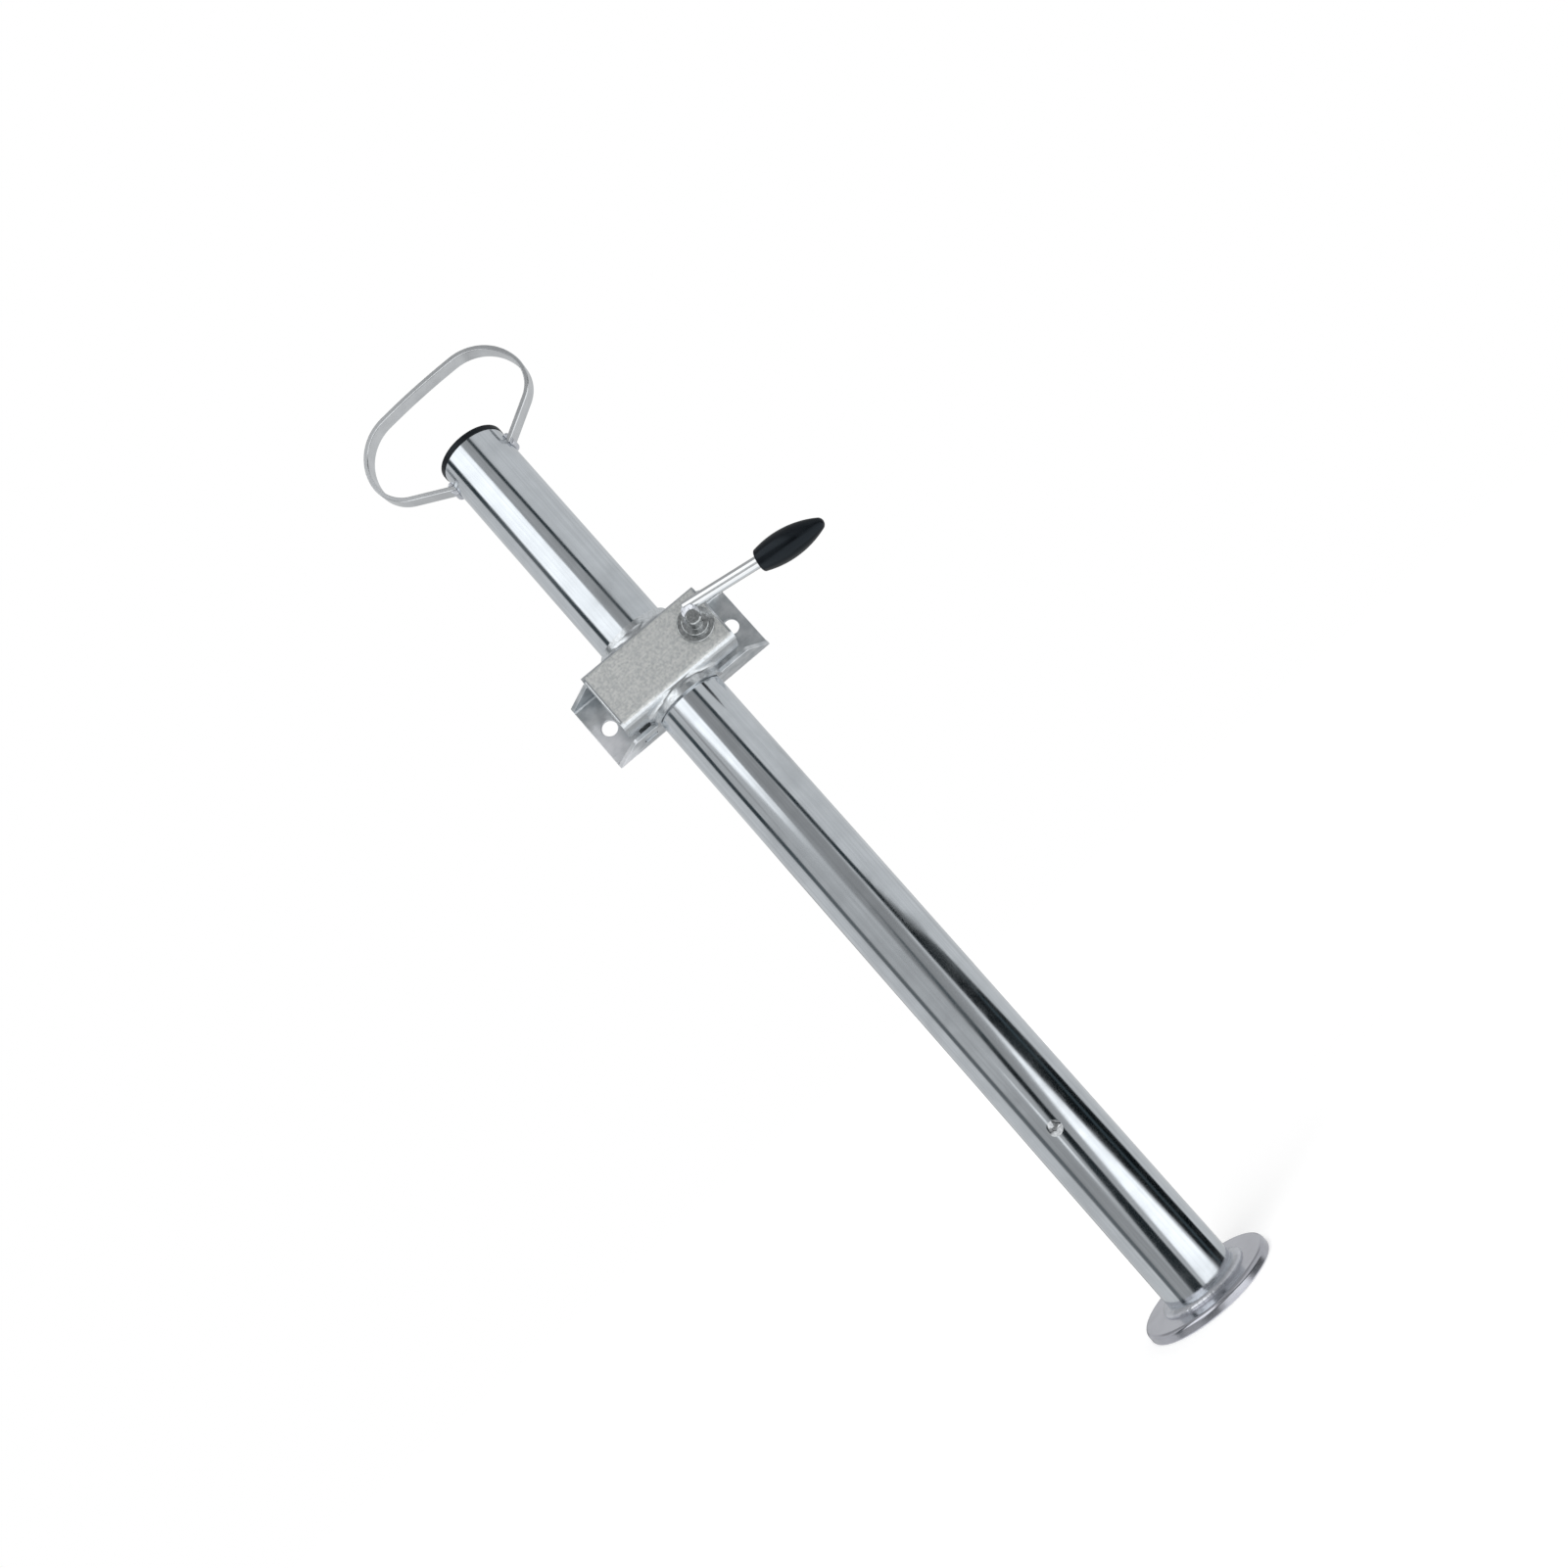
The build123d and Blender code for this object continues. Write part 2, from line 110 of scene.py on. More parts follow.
def feed(tree: Tree, node: bpy.types.Node, values: Feeds) -> None:
    """Feeds a node's inputs.

    Args:
        tree: The node tree that holds the node.
        node: The node.
        values: Output sockets, numbers or tuples for its inputs, by name or place.
    """
    for key, value in values.items():
        if isinstance(value, Socket):
            tree.links.new(value, node.inputs[key])
        else:
            node.inputs[key].default_value = value


def add_node(tree: Tree, kind: str, values: Feeds | None = None, **settings: object) -> bpy.types.Node:
    """Adds one node to a tree.

    Args:
        tree: The node tree that receives the node.
        kind: The node's type name.
        values: What its inputs are fed with, by name or place.
        settings: Properties of the node, by name.

    Returns:
        The new node.
    """
    node = tree.nodes.new(kind)
    for name, setting in settings.items():
        setattr(node, name, setting)
    feed(tree, node, values or {})
    return node


def math_node(tree: Tree, operation: str, *values: object) -> Socket:
    """Adds a Math node and returns its result."""
    return add_node(tree, "ShaderNodeMath", dict(enumerate(values)), operation=operation).outputs[0]


def remap(tree: Tree, value: object, low: float, high: float, start: float = 0.0, end: float = 1.0) -> Socket:
    """Maps a value smoothly from one range to another.

    Args:
        tree: The node tree.
        value: The output to map.
        low: The value that gives start.
        high: The value that gives end.
        start: Result at or below low.
        end: Result at or above high.

    Returns:
        The mapped value.
    """
    values = dict(enumerate((value, low, high, start, end)))
    return add_node(tree, "ShaderNodeMapRange", values, interpolation_type="SMOOTHSTEP").outputs[0]


def noise_node(tree: Tree, place: object, scale: object, detail: float) -> Socket:
    """Adds a noise texture and returns its factor."""
    values = {"Vector": place, "Scale": scale, "Detail": detail}
    return add_node(tree, "ShaderNodeTexNoise", values).outputs["Fac"]


def mix_colour(tree: Tree, share: object, first: object, second: object) -> Socket:
    """Mixes two colours by the second one's share."""
    values = {"Factor": share, "A": first, "B": second}
    return add_node(tree, "ShaderNodeMix", values, data_type="RGBA").outputs["Result"]


def mix_shader(tree: Tree, share: object, first: Socket, second: Socket) -> Socket:
    """Mixes two shaders by the second one's share."""
    return add_node(tree, "ShaderNodeMixShader", {0: share, 1: first, 2: second}).outputs[0]


def bump_node(tree: Tree, relief_mm: float, height: object, under: object = None) -> Socket:
    """Adds a Bump node.

    Args:
        tree: The node tree.
        relief_mm: Height of the relief.
        height: Output that gives the relief's shape.
        under: Output that gives the normal it is laid on, or nothing for the surface's own.

    Returns:
        The output that gives the new normal.
    """
    values = {"Distance": relief_mm * MM, "Height": height}
    if under is not None:
        values["Normal"] = under
    return add_node(tree, "ShaderNodeBump", values).outputs[0]


def stretched(tree: Tree, place: object, scale: object) -> Socket:
    """Scales a place along X, Y and Z."""
    return add_node(tree, "ShaderNodeMapping", {"Vector": place, "Scale": scale}).outputs[0]


def box_mask(tree: Tree, place: object, low_mm: Triple, high_mm: Triple, blur_mm: float) -> object:
    """Gives 1 inside an upright box and 0 outside it.

    Args:
        tree: The node tree.
        place: Output that gives the place, in metres.
        low_mm: The box's low corner.
        high_mm: Its high corner.
        blur_mm: Width of its soft edge.

    Returns:
        The mask.
    """
    ways = add_node(tree, "ShaderNodeSeparateXYZ", {0: place}).outputs
    share: object = 1.0
    for way, low, high in zip(ways, low_mm, high_mm):
        over = math_node(tree, "SUBTRACT", way, low * MM)
        under = math_node(tree, "SUBTRACT", high * MM, way)
        inside = math_node(tree, "MINIMUM", over, under)
        share = math_node(tree, "MULTIPLY", share, remap(tree, inside, 0.0, blur_mm * MM))
    return share


def solid(colour: Triple) -> tuple[float, float, float, float]:
    """Adds full alpha to a colour."""
    return (*colour, 1.0)


class NodeGroup:
    """A node group that is built when it is first asked for.

    Attributes:
        NAME: The group's name.
        KIND: Type of its tree.
        INPUTS: Types of its inputs, by name.
        OUTPUTS: Types of its outputs, by name.
    """

    NAME: str
    KIND: str
    INPUTS: dict[str, str]
    OUTPUTS: dict[str, str]

    @classmethod
    def tree(cls) -> Tree:
        """Gives the group's tree."""
        tree = bpy.data.node_groups.get(cls.NAME)
        if tree is None:
            tree = bpy.data.node_groups.new(cls.NAME, cls.KIND)
            for way, sockets in (("INPUT", cls.INPUTS), ("OUTPUT", cls.OUTPUTS)):
                for name, kind in sockets.items():
                    tree.interface.new_socket(name, in_out=way, socket_type=kind)
            given = dict(add_node(tree, "NodeGroupInput").outputs.items())
            add_node(tree, "NodeGroupOutput", cls.wire(tree, given))
        return tree

    @classmethod
    def wire(cls, tree: Tree, given: Given) -> Feeds:
        """Lays the group's nodes.

        Args:
            tree: The group's tree.
            given: What the group is given, by name.

        Returns:
            What the group puts out, by name.
        """
        raise NotImplementedError


class PlatedSurface(NodeGroup):
    """Node group that varies a plated face: spangle, mottling, handling smudges and draw lines.

    Its inputs bear the names of PlatedSteel's fields.
    """

    NAME = "Plated Surface"
    KIND = "ShaderNodeTree"
    INPUTS = {
        "tint": COLOUR,
        "shade": COLOUR,
        "roughness": NUMBER,
        "spread": NUMBER,
        "mottle_scale": NUMBER,
        "mottle": NUMBER,
        "spangle_scale": NUMBER,
        "spangle": NUMBER,
        "smudge": NUMBER,
        "stretch": VECTOR,
        "lines": NUMBER,
    }
    OUTPUTS = {"Color": COLOUR, "Roughness": NUMBER, "Height": NUMBER}
    MOTTLE_DETAIL = 5.0
    SMUDGE_SCALE = 22.0
    SMUDGE_DETAIL = 6.0
    SMUDGE_RANGE = (0.5, 0.72)
    LINE_SCALE = 2600.0
    LINE_DETAIL = 2.0
    LINE_RANGE = (0.25, 0.75)

    @classmethod
    def wire(cls, tree: Tree, given: Given) -> Feeds:
        """Lays the group's nodes. See NodeGroup."""
        place = add_node(tree, "ShaderNodeTexCoord").outputs["Object"]
        mottle = remap(tree, noise_node(tree, place, given["mottle_scale"], cls.MOTTLE_DETAIL), *NOISE_RANGE)
        cells = add_node(tree, "ShaderNodeTexVoronoi", {"Vector": place, "Scale": given["spangle_scale"]})
        grain = add_node(tree, "ShaderNodeSeparateColor", {0: cells.outputs["Color"]}).outputs[0]
        spangle = math_node(tree, "MULTIPLY", grain, given["spangle"])
        smudge = remap(tree, noise_node(tree, place, cls.SMUDGE_SCALE, cls.SMUDGE_DETAIL), *cls.SMUDGE_RANGE)
        smudge = math_node(tree, "MULTIPLY", smudge, given["smudge"])
        drawn = stretched(tree, place, given["stretch"])
        lines = remap(tree, noise_node(tree, drawn, cls.LINE_SCALE, cls.LINE_DETAIL), *cls.LINE_RANGE)
        lines = math_node(tree, "MULTIPLY", lines, given["lines"])
        shade = math_node(tree, "MULTIPLY", mottle, given["mottle"])
        for more in (spangle, smudge, lines):
            shade = math_node(tree, "ADD", shade, more)
        share = add_node(tree, "ShaderNodeClamp", {0: shade}).outputs[0]
        spread = math_node(tree, "MULTIPLY", share, given["spread"])
        return {
            "Color": mix_colour(tree, share, given["tint"], given["shade"]),
            "Roughness": math_node(tree, "ADD", given["roughness"], spread),
            "Height": math_node(tree, "ADD", lines, math_node(tree, "ADD", spangle, mottle)),
        }


@dataclass(frozen=True)
class PlatedSteel:
    """Zinc-plated steel.

    Attributes:
        slot: Material slot that the finish belongs to.
        tint: Colour of the clean plating.
        shade: Colour of its dull and handled places.
        roughness: Roughness of the clean plating.
        spread: How much rougher the dull places are.
        mottle_scale: Cloudiness, in spots per metre.
        mottle: Share of the mottling.
        spangle_scale: Zinc grains per metre.
        spangle: Share of the grains.
        smudge: Share of the handling marks.
        stretch: Scale of the draw lines along X, Y and Z.
        lines: Share of the draw lines.
        relief_mm: Height of the fine relief.
        wave_mm: Height of the slow unevenness that bends reflections.
        wave_scale: Waves per metre.
        wave_detail: Octaves of those waves.
        wave_stretch: Scale of those waves along X, Y and Z.
        dull_and_painted_light_box: Low and high corner of a place with its own finish, in millimetres, or
            nothing. On the bar this is the web that the press left dull; on the bracket it is painted light, a
            lighter patch on the left web.
        dull_and_painted_light_blur: Width of that place's soft edge, in millimetres. On the bracket this wide
            edge paints shade, darker towards the top flange and the middle.
        dull_roughness: Roughness there.
        dull_and_painted_light_mottle: Share of the mottling there; on the bracket less of it, which is part of
            the painted light.
        dull_and_painted_light_tint: Colour there; on the bracket a painted lighter tone.
    """

    slot: Slot
    tint: Triple
    shade: Triple
    roughness: float
    spread: float = 0.1
    mottle_scale: float = 90.0
    mottle: float = 0.2
    spangle_scale: float = 500.0
    spangle: float = 0.0
    smudge: float = 0.2
    stretch: Triple = (1.0, 1.0, 0.02)
    lines: float = 0.15
    relief_mm: float = 0.004
    wave_mm: float = 0.02
    wave_scale: float = 30.0
    wave_detail: float = 1.0
    wave_stretch: Triple = (1.0, 1.0, 1.0)
    dull_and_painted_light_box: tuple[Triple, Triple] | None = None
    dull_and_painted_light_blur: float = 1.2
    dull_roughness: float = 0.5
    dull_and_painted_light_mottle: float = 0.5
    dull_and_painted_light_tint: Triple = (0.98, 0.98, 0.98)

    def build(self) -> None:
        """Builds the material of the slot."""
        material = bpy.data.materials.new(self.slot.finish)
        material.use_nodes = True
        tree = material.node_tree
        place = add_node(tree, "ShaderNodeTexCoord").outputs["Object"]
        values = {name: getattr(self, name) for name in PlatedSurface.INPUTS}
        values |= {"tint": solid(self.tint), "shade": solid(self.shade)}
        # On the bar this is the web that the press left dull; on the bracket it is painted light, a lighter
        # patch whose wide soft edge paints shade.
        if self.dull_and_painted_light_box is not None:
            dull = box_mask(tree, place, *self.dull_and_painted_light_box, self.dull_and_painted_light_blur)
            values["roughness"] = remap(tree, dull, 0.0, 1.0, self.roughness, self.dull_roughness)
            values["mottle"] = remap(tree, dull, 0.0, 1.0, self.mottle, self.dull_and_painted_light_mottle)
            values["tint"] = mix_colour(tree, dull, solid(self.tint), solid(self.dull_and_painted_light_tint))
        surface = add_node(tree, "ShaderNodeGroup", values, node_tree=PlatedSurface.tree()).outputs
        waves = noise_node(tree, stretched(tree, place, self.wave_stretch), self.wave_scale, self.wave_detail)
        uneven = bump_node(tree, self.wave_mm, waves)
        feed(tree, tree.nodes["Principled BSDF"], {
            "Metallic": 1.0,
            "Base Color": surface["Color"],
            "Roughness": surface["Roughness"],
            "Normal": bump_node(tree, self.relief_mm, surface["Height"], uneven),
        })


@dataclass(frozen=True)
class BlackPlastic:
    """Moulded black plastic with a fine grain.

    Attributes:
        slot: Material slot that the finish belongs to.
        tint: Colour of the plastic.
        scuff: Colour where it has been rubbed.
        roughness: Roughness of the clean moulding.
        shine: Strength of its sheen.
        sheen: Colour of its sheen.
        rub_scale: Rubbed places per metre.
        rub_detail: Octaves of their noise.
        rub_range: Values of that noise at which rubbing starts and is full.
        rub_roughness: How much rougher the rubbed places are.
        grain_scale: Grains per metre.
        grain_detail: Octaves of the grain.
        grain_mm: Height of the grain.
    """

    slot: Slot
    tint: Triple
    scuff: Triple
    roughness: float
    shine: float
    sheen: Triple = (0.72, 0.86, 1.0)
    rub_scale: float = 60.0
    rub_detail: float = 5.0
    rub_range: tuple[float, float] = (0.48, 0.75)
    rub_roughness: float = 0.12
    grain_scale: float = 1500.0
    grain_detail: float = 3.0
    grain_mm: float = 0.006

    def build(self) -> None:
        """Builds the material of the slot."""
        material = bpy.data.materials.new(self.slot.finish)
        material.use_nodes = True
        tree = material.node_tree
        place = add_node(tree, "ShaderNodeTexCoord").outputs["Object"]
        rubbed = remap(tree, noise_node(tree, place, self.rub_scale, self.rub_detail), *self.rub_range)
        roughness = remap(tree, rubbed, 0.0, 1.0, self.roughness, self.roughness + self.rub_roughness)
        grain = noise_node(tree, place, self.grain_scale, self.grain_detail)
        feed(tree, tree.nodes["Principled BSDF"], {
            "Base Color": mix_colour(tree, rubbed, solid(self.tint), solid(self.scuff)),
            "Roughness": roughness,
            "Specular IOR Level": self.shine,
            "Specular Tint": solid(self.sheen),
            "Normal": bump_node(tree, self.grain_mm, grain),
        })


FINISHES: tuple[PlatedSteel | BlackPlastic, ...] = (
    PlatedSteel(
        Slot.TUBE, (0.70, 0.735, 0.77), (0.50, 0.525, 0.55), roughness=0.08, spread=0.16, mottle_scale=70.0,
        mottle=0.25, smudge=0.35, lines=0.12, wave_mm=0.12, wave_scale=60.0, wave_stretch=(1.0, 1.0, 0.25),
    ),
    PlatedSteel(Slot.FOOT, (0.56, 0.565, 0.615), (0.48, 0.48, 0.52), roughness=0.17, mottle=0.3),
    PlatedSteel(
        Slot.WELD, (0.76, 0.775, 0.82), (0.46, 0.48, 0.52), roughness=0.32, mottle_scale=200.0, mottle=0.35,
        lines=0.0, wave_mm=0.06, wave_scale=260.0,
    ),
    PlatedSteel(
        Slot.HANDLE, (0.72, 0.735, 0.75), (0.50, 0.51, 0.53), roughness=0.22, mottle=0.25, smudge=0.35,
        stretch=(0.15, 0.15, 1.0), lines=0.04,
    ),
    PlatedSteel(
        Slot.BRACKET, (0.86, 0.88, 0.90), (0.48, 0.515, 0.54), roughness=0.32, mottle_scale=140.0, mottle=0.55,
        smudge=0.5, stretch=(0.03, 1.0, 1.0), wave_mm=0.6, wave_scale=110.0,
        # painted light: the left web is painted lighter, with painted shade over the wide soft edge towards
        # the top flange and the middle
        dull_and_painted_light_box=((-80.0, 0.0, 460.0), (-38.0, 40.0, 510.0)), dull_and_painted_light_blur=12.0, dull_roughness=0.66,
        dull_and_painted_light_mottle=0.2, dull_and_painted_light_tint=(0.98, 0.98, 1.0),
    ),
    PlatedSteel(
        Slot.BAR, (0.80, 0.83, 0.86), (0.52, 0.54, 0.545), roughness=0.2, spread=0.12, mottle_scale=560.0,
        mottle=0.3, spangle_scale=900.0, spangle=0.12, smudge=0.15, stretch=(0.03, 1.0, 1.0), lines=0.25,
        relief_mm=0.012, wave_mm=0.05, wave_scale=120.0,
        # the web that the press left dull, in a warmer tone
        dull_and_painted_light_box=((-43.0, -40.0, 478.0), (45.0, -25.5, 518.5)), dull_and_painted_light_tint=(0.98, 0.98, 0.955),
    ),
    PlatedSteel(
        Slot.SCREW, (0.60, 0.615, 0.62), (0.26, 0.275, 0.28), roughness=0.2, mottle_scale=700.0, mottle=0.7,
        smudge=0.4,
    ),
    PlatedSteel(Slot.ROD, (0.78, 0.79, 0.80), (0.56, 0.57, 0.59), roughness=0.1, mottle=0.15, lines=0.05),
    PlatedSteel(
        Slot.RIVET, (0.56, 0.57, 0.58), (0.26, 0.27, 0.28), roughness=0.1, mottle_scale=900.0, mottle=0.6,
        lines=0.0,
    ),
    BlackPlastic(Slot.CAP, (0.005, 0.0058, 0.007), (0.012, 0.013, 0.015), roughness=0.36, shine=0.26),
    BlackPlastic(Slot.GRIP, (0.0016, 0.0022, 0.0034), (0.005, 0.0062, 0.008), roughness=0.24, shine=0.3),
)


def finish(piece: Piece, body: Body, node: str) -> None:
    """Sets a piece on its body and hides the node that it stands for, so that the piece takes its place.

    Args:
        piece: The finished object.
        body: The body that it rides on.
        node: The node that it stands for.
    """
    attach(piece, body.value)
    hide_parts(node)
    LOG.info("%s: %d faces on %s", piece.name, len(piece.data.polygons), body.value)


def linked(name: str, data: bpy.types.ID) -> Piece:
    """Puts a new object that holds some data into the scene."""
    piece = bpy.data.objects.new(name, data)
    bpy.context.scene.collection.objects.link(piece)
    return piece


def new_object(name: str, mesh: bpy.types.Mesh, slot: Slot) -> Piece:
    """Makes an object that holds a mesh with one material."""
    mesh.materials.clear()
    mesh.materials.append(bpy.data.materials[slot.finish])
    return linked(name, mesh)


def mark_sharp(shape: Shape) -> None:
    """Shades faces smooth and marks the edges that turn sharply."""
    for face in shape.faces:
        face.smooth = True
    for edge in shape.edges:
        edge.smooth = len(edge.link_faces) == 2 and edge.calc_face_angle(pi) < SHARP_ANGLE


def baked(piece: Piece) -> Piece:
    """Turns a piece's modifiers into plain mesh.

    Args:
        piece: The object with live modifiers.

    Returns:
        The same object, with its result as its mesh and no modifiers.
    """
    graph = bpy.context.evaluated_depsgraph_get()
    mesh = bpy.data.meshes.new_from_object(piece.evaluated_get(graph))
    piece.modifiers.clear()
    piece.data = mesh
    return piece


def shaded(piece: Piece) -> Piece:
    """Bakes a piece with normals that follow its large faces, so that they shade true."""
    weights = piece.modifiers.new("true_shading", "WEIGHTED_NORMAL")
    weights.keep_sharp = True
    return baked(piece)


def shaped(node: str, slot: Slot, shape: Shape) -> Piece:
    """Makes the object that shows a node.

    Args:
        node: The node's name.
        slot: The material slot.
        shape: The shape, which is used up.

    Returns:
        The new object.
    """
    mark_sharp(shape)
    name = f"{node}_shown"
    mesh = bpy.data.meshes.new(name)
    shape.to_mesh(mesh)
    shape.free()
    return shaded(new_object(name, mesh, slot))


def node_copy(node: str, slot: Slot) -> Piece:
    """Copies a node, joined up and with flat faces whole, so that it can be bevelled."""
    shape = bmesh.new()
    shape.from_mesh(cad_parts[node].data)
    bmesh.ops.remove_doubles(shape, verts=shape.verts, dist=MERGE_DISTANCE)
    bmesh.ops.dissolve_limit(shape, angle_limit=FLAT_ANGLE, verts=shape.verts, edges=shape.edges)
    return shaped(node, slot, shape)


def softened(piece: Piece, width_mm: float) -> Piece:
    """Softens a piece's sharp edges.

    Args:
        piece: The object, whose mesh is joined up.
        width_mm: Width of the softened edge.

    Returns:
        The same object.
    """
    bevel = piece.modifiers.new("soft_edges", "BEVEL")
    bevel.width = width_mm * MM
    bevel.segments = EDGE_CUTS
    bevel.limit_method = "ANGLE"
    bevel.angle_limit = SHARP_ANGLE
    bevel.use_clamp_overlap = True
    return shaded(piece)


def dress(node: str, slot: Slot, body: Body, width_mm: float | None = None) -> None:
    """Puts a copy of a node in its place.

    Args:
        node: The node's name.
        slot: The material slot.
        body: The body that it rides on.
        width_mm: Width of its softened edges, or nothing where they stay sharp.
    """
    piece = node_copy(node, slot)
    if width_mm is not None:
        piece = softened(piece, width_mm)
    finish(piece, body, node)


def lathe(node: str, slot: Slot, profile: Profile, segments: int) -> Piece:
    """Turns a closed profile about the leg's axis.

    Args:
        node: The node that it is made for.
        slot: The material slot.
        profile: Radius and height pairs, in metres, anticlockwise when seen from the side.
        segments: Steps round the axis.

    Returns:
        The new object, closed and with its faces outwards.
    """
    shape = bmesh.new()
    rings = []
    for step in range(segments):
        turn = 2 * pi * step / segments
        rings.append([shape.verts.new((r * sin(turn), -r * cos(turn), z)) for r, z in profile])
    for step in range(segments):
        here, there = rings[step], rings[(step + 1) % segments]
        for index in range(len(profile)):
            after = (index + 1) % len(profile)
            shape.faces.new((here[index], there[index], there[after], here[after]))
    bmesh.ops.remove_doubles(shape, verts=shape.verts, dist=MERGE_DISTANCE)
    bmesh.ops.dissolve_degenerate(shape, edges=shape.edges, dist=MERGE_DISTANCE)
    bmesh.ops.recalc_face_normals(shape, faces=shape.faces)
    return shaped(node, slot, shape)


def arc(centre: tuple[float, float], radius: float, start: float, steps: int) -> Profile:
    """Points on a quarter round of a profile.

    Args:
        centre: Radius and height of the round's middle.
        radius: Its radius.
        start: Its first angle, in degrees from outwards.
        steps: Number of steps in it.

    Returns:
        The points, anticlockwise.
    """
    angles = [radians(start) + pi / 2 * step / steps for step in range(steps + 1)]
    return [(centre[0] + radius * cos(angle), centre[1] + radius * sin(angle)) for angle in angles]


@dataclass(frozen=True)
class Bead:
    """A small weld bead: its plain solid rounded off, with the lumps of the pool.

    Attributes:
        voxel_mm: Size of the mesh that it is made from.
        lump_mm: Height of the lumps.
        lump_scale: Lumps per metre.
        settle: Rounds of smoothing, each of which lets it settle a little more.
    """

    voxel_mm: float
    lump_mm: float
    lump_scale: float
    settle: int

    def build(self, node: str, body: Body) -> None:
        """Makes the bead of one node, which rides on a body."""
        piece = node_copy(node, Slot.WELD)
        remesh = piece.modifiers.new("round_off", "REMESH")
        remesh.mode = "VOXEL"
        remesh.voxel_size = self.voxel_mm * MM
        remesh.use_smooth_shade = True
        smooth = piece.modifiers.new("settle", "SMOOTH")
        smooth.iterations = self.settle
        baked(piece)
        for vertex in piece.data.vertices:
            lift = noise.noise(vertex.co * self.lump_scale)
            vertex.co += vertex.normal * lift * self.lump_mm * MM
        finish(piece, body, node)


class WeldRipples(NodeGroup):
    """Geometry nodes that lay the overlapping ripples of a weld round a ring."""

    NAME = "Weld Ripples"
    KIND = "GeometryNodeTree"
    INPUTS = {
        "Ring Radius": NUMBER,
        "Height": NUMBER,
        "Count": COUNT,
        "Across": NUMBER,
        "Rise": NUMBER,
        "Along": NUMBER,
        "Unevenness": NUMBER,
        "Seed": COUNT,
        "Material": MATERIAL,
    }
    OUTPUTS = {"Geometry": GEOMETRY}
    DROP = {"Segments": 20, "Rings": 12, "Radius": 1.0}

    @classmethod
    def wire(cls, tree: Tree, given: Given) -> Feeds:
        """Lays the group's nodes. See NodeGroup."""
        ring = add_node(tree, "GeometryNodeCurvePrimitiveCircle", {"Radius": given["Ring Radius"]})
        ring_values = {"Curve": ring.outputs[0], "Count": given["Count"]}
        points = add_node(tree, "GeometryNodeCurveToPoints", ring_values).outputs
        drop = add_node(tree, "GeometryNodeMeshUVSphere", cls.DROP)
        sizes = {"X": given["Across"], "Y": given["Rise"], "Z": given["Along"]}
        size = add_node(tree, "ShaderNodeCombineXYZ", sizes)
        ripple_values = {"Geometry": drop.outputs[0], "Scale": size.outputs[0]}
        ripple = add_node(tree, "GeometryNodeTransform", ripple_values)
        uneven = add_node(tree, "FunctionNodeRandomValue", {"Seed": given["Seed"]}, data_type="FLOAT")
        least, most = [place for place, socket in enumerate(uneven.inputs) if socket.type == "VALUE"][:2]
        feed(tree, uneven, {least: math_node(tree, "SUBTRACT", 1.0, given["Unevenness"]), most: 1.0})
        laid = add_node(tree, "GeometryNodeInstanceOnPoints", {
            "Points": points["Points"],
            "Instance": ripple.outputs[0],
            "Rotation": points["Rotation"],
            "Scale": [socket for socket in uneven.outputs if socket.type == "VALUE" and socket.enabled][0],
        })
        lift = add_node(tree, "ShaderNodeCombineXYZ", {"Z": given["Height"]})
        raised_values = {"Geometry": laid.outputs[0], "Translation": lift.outputs[0]}
        raised = add_node(tree, "GeometryNodeTransform", raised_values)
        real = add_node(tree, "GeometryNodeRealizeInstances", {0: raised.outputs[0]})
        smooth = add_node(tree, "GeometryNodeSetShadeSmooth", {"Geometry": real.outputs[0]})
        dressed_values = {"Geometry": smooth.outputs[0], "Material": given["Material"]}
        return {"Geometry": add_node(tree, "GeometryNodeSetMaterial", dressed_values).outputs[0]}


class ScrewThread(NodeGroup):
    """Geometry nodes that wind a thread's ridge along a screw whose axis lies along Y."""

    NAME = "Screw Thread"
    KIND = "GeometryNodeTree"
    INPUTS = {
        "Core Radius": NUMBER,
        "Ridge": NUMBER,
        "Pitch": NUMBER,
        "Length": NUMBER,
        "Start": VECTOR,
        "Material": MATERIAL,
    }
    OUTPUTS = {"Geometry": GEOMETRY}
    STEPS_PER_TURN = 40
    RIDGE_SIDES = 4
    TO_SCREW_AXIS = (pi / 2, 0.0, 0.0)

    @classmethod
    def wire(cls, tree: Tree, given: Given) -> Feeds:
        """Lays the group's nodes. See NodeGroup."""
        helix = add_node(tree, "GeometryNodeCurveSpiral", {
            "Resolution": cls.STEPS_PER_TURN,
            "Rotations": math_node(tree, "DIVIDE", given["Length"], given["Pitch"]),
            "Start Radius": given["Core Radius"],
            "End Radius": given["Core Radius"],
            "Height": given["Length"],
        })
        ridge_values = {"Resolution": cls.RIDGE_SIDES, "Radius": given["Ridge"]}
        ridge = add_node(tree, "GeometryNodeCurvePrimitiveCircle", ridge_values)
        wound = add_node(tree, "GeometryNodeCurveToMesh", {
            "Curve": helix.outputs[0],
            "Profile Curve": ridge.outputs[0],
            "Fill Caps": True,
        })
        laid = add_node(tree, "GeometryNodeTransform", {
            "Geometry": wound.outputs[0],
            "Translation": given["Start"],
            "Rotation": cls.TO_SCREW_AXIS,
        })
        dressed_values = {"Geometry": laid.outputs[0], "Material": given["Material"]}
        return {"Geometry": add_node(tree, "GeometryNodeSetMaterial", dressed_values).outputs[0]}


